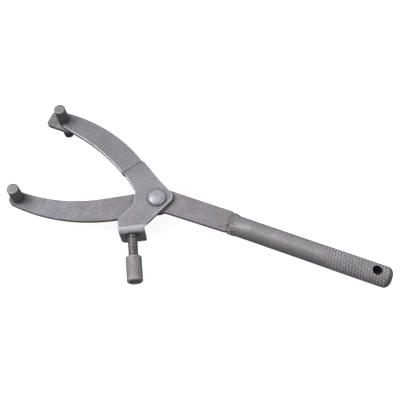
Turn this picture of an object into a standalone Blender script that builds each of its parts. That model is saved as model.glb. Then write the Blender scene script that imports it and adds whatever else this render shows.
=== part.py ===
"""Adjustable two-arm pin spanner: a flat steel bar that ends in a curved fixed arm, a second curved
arm riveted over it, a welded tube handle and an M8 thumb screw that sets the spread of the arms.

Metres, +Z up along the front of the pins. The origin is on the pivot axis, at the flat rear end of
the rivet. +X runs along the handle and the arms reach towards -X, the moving arm on the +Y side.
The pieces are drawn in millimetres about the handle's axis, with the bar's mid thickness at z = 0
and the pivot at PIVOT, and are moved into place at the end. "Front" is +Z and "rear" is -Z."""

import math

import bmesh
import bpy
from mathutils import Matrix, Vector

MM = 0.001

# Plates
PLATE = 4.0  # thickness of the bar and of both arms
HALF_PLATE = PLATE / 2
GAP = 0.3  # running gap between neighbouring pieces
EDGE = 0.55  # rounding of the sheared plate edges
BAR_END = 62.5  # shoulder where the bar narrows to the tang
TANG_WIDTH = 11.2
TANG_END = 91.0
LIFT = PLATE + GAP  # the moving arm rides this much above the bar at the pivot
MOVING_REAR = HALF_PLATE + GAP  # z of the moving arm's rear face at the pivot

# Pivot: rivet with a domed head in front and a tail upset over the rear washer
PIVOT = (-0.45, -2.3)  # the joint sits in the middle of the bend, a little off the handle's axis
RIVET_SHANK = 8.0
RIVET_HEAD = 15.0
RIVET_DOME = 2.8  # whole height of the head
RIVET_RIM = 0.5  # straight rim below the dome
HEAD_BASE = MOVING_REAR + PLATE + GAP
WASHER_DIAMETER = 21.4
WASHER_THICKNESS = 3.0
WASHER_CHAMFER = 0.3
WASHER_FRONT = -HALF_PLATE - GAP
WASHER_REAR = WASHER_FRONT - WASHER_THICKNESS
TAIL_DIAMETER = 12.0
TAIL_HEIGHT = 2.0
TAIL_FLAT = 7.0
TAIL_FRONT = WASHER_REAR - GAP
TAIL_REAR = TAIL_FRONT - TAIL_HEIGHT

# Pins
PIN_DIAMETER = 10.0
PIN_CHAMFER = 0.5
FIXED_PIN = (-110.5, -41.4)
FIXED_PIN_HEIGHT = 16.0  # above the arm's front face
FIXED_PIN_SHANK = 7.0
FIXED_PIN_PROUD = 0.2  # of the shank behind the arm's rear face
FIXED_PIN_REAR_CHAMFER = 0.3
MOVING_PIN = (-111.2, 42.0)
MOVING_PIN_HEIGHT = 15.2
MOVING_PIN_SHANK = 9.0
MOVING_PIN_REAR = -22.4  # z of the rear end of the through pin
MOVING_PIN_REAR_CHAMFER = 1.2

# Tip plate behind the moving arm
TIP_PLATE = 4.6
TIP_EDGE = 0.5

# Handle tube
TUBE_SEGMENTS = 40
TUBE_OD = 16.8
TUBE_WALL = 2.0
TUBE_START = 69.0
TUBE_END = 194.7
GRIP_OD = 17.2  # over the thicker outer part
GRIP_START = 136.0
GRIP_STEP = 0.8  # length over which the tube grows to the grip
MOUTH_WIDTH = 17.3
MOUTH_HEIGHT = 15.0
MOUTH_LENGTH = 12.0
MOUTH_STEPS = 6
END_DOME = 5.5
END_HOLE = 3.0
END_LIP = 0.4  # width of the flattened rim around the end hole
HANG_HOLE = 7.6
HANG_HOLE_REAR = 6.0
HANG_X = 182.0

# Weld collar; its bar end is a rounded rectangle that turns into the oval of the tube's mouth
WELD_STEPS = 5
WELD_WIDTH = 19.6  # at the bar
WELD_HEIGHT = 7.0  # at the bar
WELD_MOUTH_HEIGHT = MOUTH_HEIGHT - 0.6
WELD_SHIFT = 0.6  # towards +Y at the bar
WELD_SWELL = 0.5
WELD_POWER = 0.72  # exponent that squares off the oval at the bar; 1 is a true oval
SLOT_OVERRUN = 5.0  # of the tang slot's cutter beyond the collar's neighbours

# Thumb screw. Distances along it are measured outwards from the pivot.
SCREW_ANGLE = math.radians(-62.1)  # in which the screw leaves the lug, in the plane of the bar
SCREW_OUT = Vector((math.cos(SCREW_ANGLE), math.sin(SCREW_ANGLE)))
LUG_SIDE = Vector((-math.sin(SCREW_ANGLE), math.cos(SCREW_ANGLE)))  # across the screw
SCREW_SIDE = -24.5  # place of the screw axis along LUG_SIDE
SCREW_Z = -3.5
M8_MAJOR = 7.9
M8_MINOR = 6.6
M8_PITCH = 1.25
THREAD_CREST = 0.22  # parts of the pitch taken by the crest and the root
THREAD_ROOT = 0.18
THREAD_CLEARANCE = 0.18  # radial room between the stud and the tapped hole
STUD_SEGMENTS = 14
STUD_LEAD = 0.9  # length over which the thread fades at each end
TAP_LEAD = 0.2
TAP_OVERRUN = 1.5
PAD_START = 15.1  # top of the pad's dome
PAD_DIAMETER = 6.4
PAD_LENGTH = 4.4
PAD_END = PAD_START + PAD_LENGTH
PAD_CHAMFER = 0.3
PAD_SOCKET = 2.0
PAD_FLOOR = PAD_END - PAD_SOCKET
NOSE_DIAMETER = 3.2
NOSE_ROOT = 2.0  # length of the nose sunk in the stud
KNOB_START = 47.1
KNOB_LENGTH = 21.6
KNOB_DIAMETER = 13.0
KNOB_CHAMFER = 0.9
KNOB_BORE_DEPTH = 12.0

# Lug, folded back from the moving arm to carry the screw
LUG_OUTER = 28.7  # distance from the pivot to the lug's outer face, along the screw
LUG_WIDTH = 20.7
LUG_MIDDLE = SCREW_SIDE + 0.2
LUG_BOTTOM = -17.0
BEND_INSIDE = 2.0
BEND_STEPS = 6
BEND_NEUTRAL = BEND_INSIDE + PLATE / 2
BEND_START = LUG_OUTER - (BEND_INSIDE + PLATE)
BEND_LENGTH = BEND_NEUTRAL * math.pi / 2
BEND_CENTRE_Z = MOVING_REAR - BEND_INSIDE
BLANK_END = BEND_START + BEND_LENGTH + (BEND_CENTRE_Z - LUG_BOTTOM)

# Joggle, the step that brings the moving arm down to the level of the bar
JOGGLE_AT = Vector((-31.2, 16.9))  # middle of the step
JOGGLE_WAY = Vector((-14.1, 9.5)).normalized()
JOGGLE_RADIUS = 2.4  # at mid thickness
JOGGLE_SLOPE = math.radians(50)
JOGGLE_STEPS = 4  # in each of the two arcs
JOGGLE_ARC = JOGGLE_RADIUS * math.sin(JOGGLE_SLOPE)
JOGGLE_DROP = LIFT - 2 * JOGGLE_RADIUS * (1 - math.cos(JOGGLE_SLOPE))  # over the straight ramp
JOGGLE_RAMP = JOGGLE_DROP / math.tan(JOGGLE_SLOPE)
JOGGLE_LENGTH = 2 * JOGGLE_ARC + JOGGLE_RAMP
JOGGLE_START = JOGGLE_AT.dot(JOGGLE_WAY) - JOGGLE_LENGTH / 2
NEAR = 1e-6  # tolerance when sorting vertices along the joggle and the bend

# Plate outlines: corners as x, y, fillet radius
FIXED_OUTLINE = [
    (TANG_END, TANG_WIDTH / 2, 2.0),
    (BAR_END, TANG_WIDTH / 2, 0),
    (BAR_END, 10.5, 1.0),
    (1.8, 9.9, 18.0),
    (-76.5, -36.5, 132.0),
    (-120.5, -35.0, 2.5),
    (-116.3, -48.8, 6.5),
    (-61.7, -52.5, 148.0),
    (7.6, -10.1, 18.0),
    (BAR_END, -8.5, 1.0),
    (BAR_END, -TANG_WIDTH / 2, 0),
    (TANG_END, -TANG_WIDTH / 2, 2.0),
]
TIP_OUTLINE = [
    (-125.8, 47.8, 1.2),
    (-125.6, 33.9, 3.0),
    (-103.0, 33.9, 2.0),
    (-103.0, 47.8, 2.0),
]


def lug_corner(side, out, fillet):
    point = LUG_SIDE * side + SCREW_OUT * out
    return (point.x, point.y, fillet)


LUG_NEAR_SIDE = LUG_MIDDLE + LUG_WIDTH / 2  # the lug's edge nearer the pivot
LUG_FAR_SIDE = LUG_MIDDLE - LUG_WIDTH / 2
MOVING_OUTLINE = [
    (-107.8, 34.9, 2.0),
    (-114.5, 49.0, 1.2),
    (-68.1, 52.3, 138.0),
    (-5.2, 13.8, 6.5),
    (13.2, 4.6, 6.5),
    lug_corner(LUG_NEAR_SIDE, BEND_START + 3.0, 1.2),
    lug_corner(LUG_NEAR_SIDE, BLANK_END, 1.5),
    lug_corner(LUG_FAR_SIDE, BLANK_END, 4.0),
    lug_corner(LUG_FAR_SIDE, 17.2, 3.5),
    (-16.4, -14.0, 7.0),
    (-19.8, -3.1, 6.0),
    (-52.4, 22.3, 165.0),
]

# Fillet smoothness
FILLET_STEP = 8.0  # degrees
LONG_FILLET = 60  # a fillet of a larger radius gets at least LONG_FILLET_PIECES
LONG_FILLET_PIECES = 12

# Steels: base colour, roughness
STEELS = {
    "bar_steel": ((0.30, 0.30, 0.32), 0.48),
    "arm_steel": ((0.28, 0.28, 0.31), 0.50),
    "pin_steel": ((0.34, 0.34, 0.36), 0.42),
    "rivet_steel": ((0.38, 0.38, 0.42), 0.38),
    "washer_steel": ((0.27, 0.27, 0.29), 0.50),
    "tip_steel": ((0.25, 0.25, 0.27), 0.55),
    "tube_steel": ((0.30, 0.30, 0.31), 0.46),
    "weld_steel": ((0.22, 0.22, 0.23), 0.60),
    "stud_steel": ((0.26, 0.26, 0.28), 0.45),
    "knob_steel": ((0.33, 0.33, 0.34), 0.45),
    "pad_steel": ((0.26, 0.26, 0.27), 0.50),
}


# Scene and materials


def clear_scene():
    for obj in list(bpy.data.objects):
        bpy.data.objects.remove(obj, do_unlink=True)


def make_steels():
    steels = {}
    for name, (colour, roughness) in STEELS.items():
        material = bpy.data.materials.new(name)
        material.use_nodes = True
        shader = material.node_tree.nodes["Principled BSDF"]
        shader.inputs["Base Color"].default_value = (*colour, 1.0)
        shader.inputs["Roughness"].default_value = roughness
        shader.inputs["Metallic"].default_value = 1.0
        material.diffuse_color = (*colour, 1.0)
        steels[name] = material
    return steels


# Meshes


def object_from(bm, name, smooth=True):
    """Turns a bmesh in millimetres into an object in metres."""
    bmesh.ops.recalc_face_normals(bm, faces=bm.faces)
    bmesh.ops.scale(bm, vec=(MM, MM, MM), verts=bm.verts)
    mesh = bpy.data.meshes.new(name)
    bm.to_mesh(mesh)
    bm.free()
    obj = bpy.data.objects.new(name, mesh)
    bpy.context.scene.collection.objects.link(obj)
    if smooth:
        mesh.shade_smooth()
        mesh.set_sharp_from_angle(angle=math.radians(35))
    return obj


def rounded(corners):
    """Closed outline through corners (x, y, fillet radius), each fillet drawn as an arc."""
    points = []
    for i, (x, y, radius) in enumerate(corners):
        here = Vector((x, y))
        if radius <= 0:
            points.append(here)
            continue
        back = (Vector(corners[i - 1][:2]) - here).normalized()
        ahead = (Vector(corners[(i + 1) % len(corners)][:2]) - here).normalized()
        half = math.acos(max(-1.0, min(1.0, back.dot(ahead)))) / 2
        turn = math.pi - 2 * half
        centre = here + (back + ahead).normalized() * (radius / math.sin(half))
        start = here + back * (radius / math.tan(half))
        arm = start - centre
        side = 1 if back.x * ahead.y - back.y * ahead.x < 0 else -1
        pieces = max(2, math.ceil(math.degrees(turn) / FILLET_STEP))
        if radius > LONG_FILLET:
            pieces = max(pieces, LONG_FILLET_PIECES)
        for k in range(pieces + 1):
            angle = side * turn * k / pieces
            cos, sin = math.cos(angle), math.sin(angle)
            points.append(centre + Vector((arm.x * cos - arm.y * sin, arm.x * sin + arm.y * cos)))
    return points


def plate(corners, bottom, top):
    """Flat plate: the rounded outline filled at the bottom and extruded up to the top."""
    bm = bmesh.new()
    face = bm.faces.new([bm.verts.new((p.x, p.y, bottom)) for p in rounded(corners)])
    made = bmesh.ops.extrude_face_region(bm, geom=[face])
    for item in made["geom"]:
        if isinstance(item, bmesh.types.BMVert):
            item.co.z = top
    return bm


def slice_across(bm, direction, distances):
    """Adds an edge loop where a plane across the direction meets the mesh, at each distance."""
    normal = Vector((direction.x, direction.y, 0))
    for distance in distances:
        bmesh.ops.bisect_plane(
            bm,
            geom=bm.verts[:] + bm.edges[:] + bm.faces[:],
            plane_co=normal * distance,
            plane_no=normal,
            dist=1e-6,
        )


def skinned(rings, joined=False, capped=False):
    """Skin over successive rings of points; a ring of one point makes a tip.
    Joined closes the last ring onto the first; capped fills both end rings."""
    bm = bmesh.new()
    loops = [[bm.verts.new(point) for point in ring] for ring in rings]
    pairs = list(zip(loops, loops[1:]))
    if joined:
        pairs.append((loops[-1], loops[0]))
    for low, high in pairs:
        count = max(len(low), len(high))
        for k in range(count):
            n = (k + 1) % count
            if len(low) == 1:
                bm.faces.new((low[0], high[k], high[n]))
            elif len(high) == 1:
                bm.faces.new((low[k], low[n], high[0]))
            else:
                bm.faces.new((low[k], low[n], high[n], high[k]))
    if capped:
        bm.faces.new(loops[0])
        bm.faces.new(loops[-1])
    return bm


def circle(radius, z, segments):
    """Points around Z, or the single point on the axis where the radius is nil."""
    if radius < 1e-9:
        return [(0, 0, z)]
    angles = [2 * math.pi * k / segments for k in range(segments)]
    return [(radius * math.cos(angle), radius * math.sin(angle), z) for angle in angles]


def turned(profile, segments, name, joined=False):
    """Solid of revolution about Z from a profile of (radius, z). The profile starts and ends on
    the axis, or is a closed loop clear of the axis when joined."""
    rings = [circle(radius, z, segments) for radius, z in profile]
    return object_from(skinned(rings, joined=joined), name)


def arc(centre, half_axes, degrees):
    """Points (radius, station) on an ellipse, counted from its outermost radius."""
    return [
        (
            centre[0] + half_axes[0] * math.cos(math.radians(angle)),
            centre[1] + half_axes[1] * math.sin(math.radians(angle)),
        )
        for angle in degrees
    ]


def oval(x, width, height, power=1.0, shift=0.0):
    """Oval across X, moved by shift along Y; a power below 1 squares it off."""
    points = []
    for k in range(TUBE_SEGMENTS):
        angle = 2 * math.pi * k / TUBE_SEGMENTS
        cos, sin = math.cos(angle), math.sin(angle)
        y = shift + width / 2 * math.copysign(abs(cos) ** power, cos)
        z = height / 2 * math.copysign(abs(sin) ** power, sin)
        points.append((x, y, z))
    return points


def m8_rod(start, end, lead, name, clearance=0.0):
    """M8 rod along +Z: helical ridges, brought down to the root over the lead at each end."""
    major = M8_MAJOR + 2 * clearance
    minor = M8_MINOR + 2 * clearance
    pitch = M8_PITCH
    crest = THREAD_CREST * pitch
    root = THREAD_ROOT * pitch
    flank = (pitch - crest - root) / 2

    def radius_at(z, angle):
        phase = (z - pitch * angle / (2 * math.pi)) % pitch
        if phase < crest:
            diameter = major
        elif phase < crest + flank:
            diameter = major + (minor - major) * (phase - crest) / flank
        elif phase < crest + flank + root:
            diameter = minor
        else:
            diameter = minor + (major - minor) * (phase - crest - flank - root) / flank
        from_end = min(z - start, end - z)
        limit = minor + (major - minor) * max(0.0, min(1.0, from_end / lead))
        return min(diameter, limit) / 2

    bm = bmesh.new()
    rows = []
    first = math.floor((start - pitch) / pitch)
    last = math.ceil((end + pitch) / pitch)
    for turn in range(first, last + 1):
        for offset in (0.0, crest, crest + flank, crest + flank + root):
            row = []
            for k in range(STUD_SEGMENTS + 1):
                angle = 2 * math.pi * k / STUD_SEGMENTS
                z = turn * pitch + offset + pitch * k / STUD_SEGMENTS
                z = max(start, min(end, z))
                radius = radius_at(z, angle)
                row.append(bm.verts.new((radius * math.cos(angle), radius * math.sin(angle), z)))
            rows.append(row)
    for low, high in zip(rows, rows[1:]):
        for k in range(STUD_SEGMENTS):
            bm.faces.new((low[k], low[k + 1], high[k + 1], high[k]))

    # Close the seam, drop the rows flattened onto the ends, and cap both ends.
    bmesh.ops.remove_doubles(bm, verts=bm.verts, dist=1e-5)
    bmesh.ops.dissolve_degenerate(bm, edges=bm.edges, dist=1e-5)
    for z in (start, end):
        rim = [
            edge
            for edge in bm.edges
            if edge.is_boundary and all(abs(vert.co.z - z) < 1e-4 for vert in edge.verts)
        ]
        bmesh.ops.contextual_create(bm, geom=rim)
    return object_from(bm, name)


# Modifiers and placing


def bevel(obj, width):
    modifier = obj.modifiers.new("edges", "BEVEL")
    modifier.width = width * MM
    modifier.segments = 2
    modifier.limit_method = "ANGLE"
    modifier.angle_limit = math.radians(50)
    modifier.use_clamp_overlap = True


def combine(obj, tool, name, operation):
    """Boolean with a helper object, which is hidden from the render."""
    modifier = obj.modifiers.new(name, "BOOLEAN")
    modifier.operation = operation
    modifier.solver = "EXACT"
    modifier.object = tool
    tool.hide_render = True
    tool.display_type = "WIRE"


def cut(obj, tool):
    combine(obj, tool, "cut " + tool.name, "DIFFERENCE")


def place(obj, position):
    obj.location = (position[0] * MM, position[1] * MM, 0)


def drill(obj, name, diameter, position, bottom, top, segments=32):
    radius = diameter / 2
    tool = turned([(0, bottom), (radius, bottom), (radius, top), (0, top)], segments, name)
    place(tool, position)
    cut(obj, tool)


def along_screw(obj):
    """Points an object's +Z outwards along the screw; its origin is level with the pivot."""
    axis = SCREW_OUT.to_3d()
    up = Vector((0, 0, 1))
    matrix = Matrix((up.cross(axis), up, axis)).transposed().to_4x4()
    matrix.translation = (LUG_SIDE.to_3d() * SCREW_SIDE + up * SCREW_Z) * MM
    obj.matrix_world = matrix
    return obj


# Arms


def build_fixed_arm():
    """Tang, straight bar, bend at the pivot, then a curved and tapered arm with a rounded tip."""
    arm = object_from(plate(FIXED_OUTLINE, -HALF_PLATE, HALF_PLATE), "fixed_arm")
    bevel(arm, EDGE)
    drill(arm, "cut_fixed_pivot", RIVET_SHANK + 2 * GAP, PIVOT, bottom=-10, top=10)
    drill(arm, "cut_fixed_pin", FIXED_PIN_SHANK + 2 * GAP, FIXED_PIN, bottom=-10, top=10)
    return arm


def joggle_at(along):
    """Tilt and drop of the mid thickness at a distance into the joggle."""
    if along < JOGGLE_ARC:
        tilt = math.asin(along / JOGGLE_RADIUS)
        return tilt, JOGGLE_RADIUS * (1 - math.cos(tilt))
    if along < JOGGLE_ARC + JOGGLE_RAMP:
        arc_drop = JOGGLE_RADIUS * (1 - math.cos(JOGGLE_SLOPE))
        return JOGGLE_SLOPE, arc_drop + (along - JOGGLE_ARC) * math.tan(JOGGLE_SLOPE)
    tilt = math.asin((JOGGLE_LENGTH - along) / JOGGLE_RADIUS)
    return tilt, LIFT - JOGGLE_RADIUS * (1 - math.cos(tilt))


def joggle(bm):
    """Steps the arm down by LIFT beyond the joggle."""
    middle = MOVING_REAR + PLATE / 2
    for vert in bm.verts:
        along = vert.co.xy.dot(JOGGLE_WAY) - JOGGLE_START
        if along > JOGGLE_LENGTH - NEAR:
            vert.co.z -= LIFT
        elif along > NEAR:
            tilt, drop = joggle_at(along)
            off = vert.co.z - middle
            flat = vert.co.xy + JOGGLE_WAY * (off * math.sin(tilt))
            vert.co = (flat.x, flat.y, middle - drop + off * math.cos(tilt))


def fold_lug(bm):
    """Folds the lug back by a right angle, towards -Z."""
    for vert in bm.verts:
        beyond = vert.co.xy.dot(SCREW_OUT) - BEND_START
        if beyond > NEAR:
            turn = min(beyond / BEND_NEUTRAL, math.pi / 2)
            radius = vert.co.z - BEND_CENTRE_Z
            out = BEND_START + radius * math.sin(turn)
            drop = max(0.0, beyond - BEND_LENGTH)
            flat = LUG_SIDE * vert.co.xy.dot(LUG_SIDE) + SCREW_OUT * out
            vert.co = (flat.x, flat.y, BEND_CENTRE_Z + radius * math.cos(turn) - drop)


def build_moving_arm():
    """Cut flat with its lug, sliced where it bends, then joggled and folded."""
    blank = plate(MOVING_OUTLINE, MOVING_REAR, MOVING_REAR + PLATE)
    marks = [
        JOGGLE_RADIUS * math.sin(JOGGLE_SLOPE * k / JOGGLE_STEPS) for k in range(JOGGLE_STEPS + 1)
    ]
    marks += [JOGGLE_LENGTH - mark for mark in reversed(marks)]
    slice_across(blank, JOGGLE_WAY, [JOGGLE_START + mark for mark in marks])
    bends = [BEND_START + BEND_LENGTH * k / BEND_STEPS for k in range(BEND_STEPS + 1)]
    slice_across(blank, SCREW_OUT, bends)
    joggle(blank)
    fold_lug(blank)

    arm = object_from(blank, "moving_arm")
    bevel(arm, EDGE)
    drill(arm, "cut_moving_pivot", RIVET_SHANK + 2 * GAP, PIVOT, bottom=0, top=12)
    drill(arm, "cut_moving_pin", MOVING_PIN_SHANK + 2 * GAP, MOVING_PIN, bottom=-10, top=10)
    tap = m8_rod(
        start=LUG_OUTER - PLATE - TAP_OVERRUN,
        end=LUG_OUTER + TAP_OVERRUN,
        lead=TAP_LEAD,
        name="cut_tap",
        clearance=THREAD_CLEARANCE,
    )
    cut(arm, along_screw(tap))
    return arm


def build_tip_plate():
    """Plate behind the end of the moving arm, held by the through pin."""
    front = -HALF_PLATE - GAP
    tip = object_from(plate(TIP_OUTLINE, front - TIP_PLATE, front), "tip_plate")
    bevel(tip, TIP_EDGE)
    drill(tip, "cut_tip_pin", MOVING_PIN_SHANK + 2 * GAP, MOVING_PIN, bottom=-20, top=10)
    return tip


# Pins and pivot


def build_pin(name, position, height, shank_diameter, rear, rear_chamfer):
    """Pin in front of its arm, on a thinner shank that runs back to z = rear."""
    shoulder = HALF_PLATE + GAP
    front = HALF_PLATE + height
    shank = shank_diameter / 2
    radius = PIN_DIAMETER / 2
    profile = [
        (0, rear),
        (shank - rear_chamfer, rear),
        (shank, rear + rear_chamfer),
        (shank, shoulder),
        (radius, shoulder),
        (radius, front - PIN_CHAMFER),
        (radius - PIN_CHAMFER, front),
        (0, front),
    ]
    pin = turned(profile, 36, name)
    place(pin, position)
    return pin


def build_fixed_pin():
    return build_pin(
        "fixed_arm_pin",
        FIXED_PIN,
        height=FIXED_PIN_HEIGHT,
        shank_diameter=FIXED_PIN_SHANK,
        rear=-HALF_PLATE - FIXED_PIN_PROUD,
        rear_chamfer=FIXED_PIN_REAR_CHAMFER,
    )


def build_moving_pin():
    return build_pin(
        "moving_arm_pin",
        MOVING_PIN,
        height=MOVING_PIN_HEIGHT,
        shank_diameter=MOVING_PIN_SHANK,
        rear=MOVING_PIN_REAR,
        rear_chamfer=MOVING_PIN_REAR_CHAMFER,
    )


def build_rivet():
    """Tail, shank through washer and arms, and domed head."""
    tail = arc(
        centre=(TAIL_FLAT / 2, TAIL_FRONT),
        half_axes=((TAIL_DIAMETER - TAIL_FLAT) / 2, TAIL_HEIGHT),
        degrees=(-90, -60, -30, 0),
    )
    shank = [(RIVET_SHANK / 2, TAIL_FRONT), (RIVET_SHANK / 2, HEAD_BASE)]
    head = arc(
        centre=(0, HEAD_BASE + RIVET_RIM),
        half_axes=(RIVET_HEAD / 2, RIVET_DOME - RIVET_RIM),
        degrees=range(0, 91, 15),
    )
    profile = [(0, TAIL_REAR), *tail, *shank, (RIVET_HEAD / 2, HEAD_BASE), *head]
    rivet = turned(profile, 40, "pivot_rivet")
    place(rivet, PIVOT)
    return rivet


def build_washer():
    outer = WASHER_DIAMETER / 2
    inner = RIVET_SHANK / 2 + GAP
    profile = [
        (inner, WASHER_FRONT),
        (outer - WASHER_CHAMFER, WASHER_FRONT),
        (outer, WASHER_FRONT - WASHER_CHAMFER),
        (outer, WASHER_REAR + WASHER_CHAMFER),
        (outer - WASHER_CHAMFER, WASHER_REAR),
        (inner, WASHER_REAR),
    ]
    washer = turned(profile, 48, "rear_washer", joined=True)
    place(washer, PIVOT)
    return washer


# Handle


def build_tube():
    """Round tube, pressed oval at the mouth, closed to a dome with a small hole at the far end."""
    mouth = []  # x, width, height
    for k in range(MOUTH_STEPS + 1):
        t = k / MOUTH_STEPS
        blend = 1 - t * t * (3 - 2 * t)
        width = TUBE_OD + (MOUTH_WIDTH - TUBE_OD) * blend
        height = TUBE_OD + (MOUTH_HEIGHT - TUBE_OD) * blend
        mouth.append((TUBE_START + MOUTH_LENGTH * t, width, height))

    hole = END_HOLE / 2
    dome_start = TUBE_END - END_DOME
    outer_dome = arc(
        centre=(hole + END_LIP, dome_start),
        half_axes=(GRIP_OD / 2 - hole - END_LIP, END_DOME),
        degrees=(0, 18, 36, 54, 70),
    )
    inner_dome = arc(
        centre=(hole, dome_start),
        half_axes=(TUBE_OD / 2 - TUBE_WALL - hole, END_DOME - TUBE_WALL),
        degrees=(0, 22, 44, 62),
    )
    outer = mouth + [
        (GRIP_START, TUBE_OD, TUBE_OD),
        (GRIP_START + GRIP_STEP, GRIP_OD, GRIP_OD),
        *[(x, 2 * radius, 2 * radius) for radius, x in outer_dome],
        (TUBE_END, END_HOLE, END_HOLE),
    ]
    inner = [(x, w - 2 * TUBE_WALL, h - 2 * TUBE_WALL) for x, w, h in mouth]
    inner += [(x, 2 * radius, 2 * radius) for radius, x in inner_dome]
    inner.append((TUBE_END - TUBE_WALL, END_HOLE, END_HOLE))

    rings = [oval(*section) for section in outer + inner[::-1]]
    tube = object_from(skinned(rings, joined=True), "handle_tube")
    hang = (HANG_X, 0)
    drill(tube, "cut_hang_hole", HANG_HOLE, hang, bottom=0, top=20, segments=28)
    drill(tube, "cut_hang_hole_rear", HANG_HOLE_REAR, hang, bottom=-20, top=0, segments=28)
    return tube


def build_weld():
    """Collar that fills the step between the bar's shoulder and the tube's mouth."""
    rings = []
    for k in range(WELD_STEPS + 1):
        t = k / WELD_STEPS
        swell = WELD_SWELL * math.sin(math.pi * t)
        rise = (WELD_MOUTH_HEIGHT - WELD_HEIGHT) * math.sin(t * math.pi / 2)
        rings.append(
            oval(
                x=BAR_END + GAP + (TUBE_START - BAR_END - 2 * GAP) * t,
                width=WELD_WIDTH + (MOUTH_WIDTH - WELD_WIDTH) * t + swell,
                height=WELD_HEIGHT + rise + swell,
                power=WELD_POWER + (1 - WELD_POWER) * t,
                shift=WELD_SHIFT * (1 - t),
            )
        )
    weld = object_from(skinned(rings, capped=True), "tube_weld")

    y = TANG_WIDTH / 2 + GAP
    z = HALF_PLATE + GAP
    slot = [
        [(x, y, z), (x, -y, z), (x, -y, -z), (x, y, -z)]
        for x in (BAR_END - SLOT_OVERRUN, TUBE_START + SLOT_OVERRUN)
    ]
    cut(weld, object_from(skinned(slot, capped=True), "cut_tang_slot", smooth=False))
    return weld


# Thumb screw


def build_stud():
    """Threaded stud with a plain nose on its inner end."""
    start = PAD_END + GAP
    end = KNOB_START + KNOB_BORE_DEPTH - GAP
    stud = m8_rod(start, end, STUD_LEAD, "screw_stud")
    radius = NOSE_DIAMETER / 2
    nose_start = PAD_FLOOR + GAP
    nose_end = start + NOSE_ROOT
    profile = [(0, nose_start), (radius, nose_start), (radius, nose_end), (0, nose_end)]
    nose = turned(profile, STUD_SEGMENTS, "add_nose")
    combine(stud, along_screw(nose), "nose", "UNION")
    return along_screw(stud)


def build_pad():
    """Swivel pad, domed towards the bar, with a socket for the nose."""
    radius = PAD_DIAMETER / 2
    socket = NOSE_DIAMETER / 2 + GAP
    dome = arc(
        centre=(0, PAD_START + radius), half_axes=(radius, radius), degrees=range(-90, 1, 18)
    )
    profile = dome + [
        (radius, PAD_END - PAD_CHAMFER),
        (radius - PAD_CHAMFER, PAD_END),
        (socket, PAD_END),
        (socket, PAD_FLOOR),
        (0, PAD_FLOOR),
    ]
    return along_screw(turned(profile, 24, "screw_pad"))


def build_knob():
    """Plain cylinder with chamfered ends, bored for the stud's outer end."""
    radius = KNOB_DIAMETER / 2
    bore = M8_MAJOR / 2 + GAP
    end = KNOB_START + KNOB_LENGTH
    profile = [
        (0, KNOB_START + KNOB_BORE_DEPTH),
        (bore, KNOB_START + KNOB_BORE_DEPTH),
        (bore, KNOB_START),
        (radius - KNOB_CHAMFER, KNOB_START),
        (radius, KNOB_START + KNOB_CHAMFER),
        (radius, end - KNOB_CHAMFER),
        (radius - KNOB_CHAMFER, end),
        (0, end),
    ]
    return along_screw(turned(profile, 40, "screw_knob"))


def move_to_origin():
    """Brings the pivot axis to the origin and the rivet's flat rear end to z = 0."""
    for obj in bpy.data.objects:
        obj.location -= Vector((*PIVOT, TAIL_REAR)) * MM


PIECES = (
    (build_fixed_arm, "bar_steel"),
    (build_moving_arm, "arm_steel"),
    (build_fixed_pin, "pin_steel"),
    (build_moving_pin, "pin_steel"),
    (build_tip_plate, "tip_steel"),
    (build_rivet, "rivet_steel"),
    (build_washer, "washer_steel"),
    (build_tube, "tube_steel"),
    (build_weld, "weld_steel"),
    (build_stud, "stud_steel"),
    (build_pad, "pad_steel"),
    (build_knob, "knob_steel"),
)

clear_scene()
steels = make_steels()
for build, steel_name in PIECES:
    build().data.materials.append(steels[steel_name])
move_to_origin()
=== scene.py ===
import math
from collections import namedtuple

import bmesh
import bpy
from mathutils import Matrix, Vector, noise


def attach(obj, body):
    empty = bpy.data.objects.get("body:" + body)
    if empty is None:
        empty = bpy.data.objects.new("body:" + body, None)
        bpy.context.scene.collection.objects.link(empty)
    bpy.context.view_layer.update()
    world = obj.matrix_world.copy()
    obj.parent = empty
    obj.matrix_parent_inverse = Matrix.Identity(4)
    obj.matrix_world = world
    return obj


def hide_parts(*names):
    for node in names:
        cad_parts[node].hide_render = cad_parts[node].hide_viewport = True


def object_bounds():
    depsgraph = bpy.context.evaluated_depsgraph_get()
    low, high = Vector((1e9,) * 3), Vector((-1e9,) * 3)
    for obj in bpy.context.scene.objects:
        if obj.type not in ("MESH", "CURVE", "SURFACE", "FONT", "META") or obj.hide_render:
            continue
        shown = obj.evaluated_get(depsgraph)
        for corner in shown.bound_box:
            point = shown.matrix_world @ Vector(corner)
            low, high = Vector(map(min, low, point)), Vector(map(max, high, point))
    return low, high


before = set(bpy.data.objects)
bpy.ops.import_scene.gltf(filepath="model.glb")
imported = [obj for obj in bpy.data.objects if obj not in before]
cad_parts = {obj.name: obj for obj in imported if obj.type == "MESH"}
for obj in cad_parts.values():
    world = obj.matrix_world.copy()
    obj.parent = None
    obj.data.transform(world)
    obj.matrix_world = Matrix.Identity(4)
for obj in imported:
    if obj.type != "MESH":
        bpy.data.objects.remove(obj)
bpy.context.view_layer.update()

# ---------------------------------------------------------------- sizes, in mm
MM = 0.001  # metres in a millimetre
BAR_MID = 7.6  # height of the bar's mid thickness above the frame's origin
PIVOT = (-0.45, -2.3)
GAP = 0.3  # clearance between neighbouring pieces

# Bar and arms
PLATE = 4.0
HALF_PLATE = PLATE / 2
UNDERSIDE = -HALF_PLATE - GAP  # top of what lies under the bar
ARM_LOW = HALF_PLATE + GAP  # underside of the moving arm where it lies on the bar
LIFT = PLATE + GAP  # drop of the moving arm to the bar's level
BAR_TOP = 10.3
BAR_LOW = -9.0
BAR_END = 62.5
TANG_WIDTH = 11.2
TANG_END = 91.0

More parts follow.
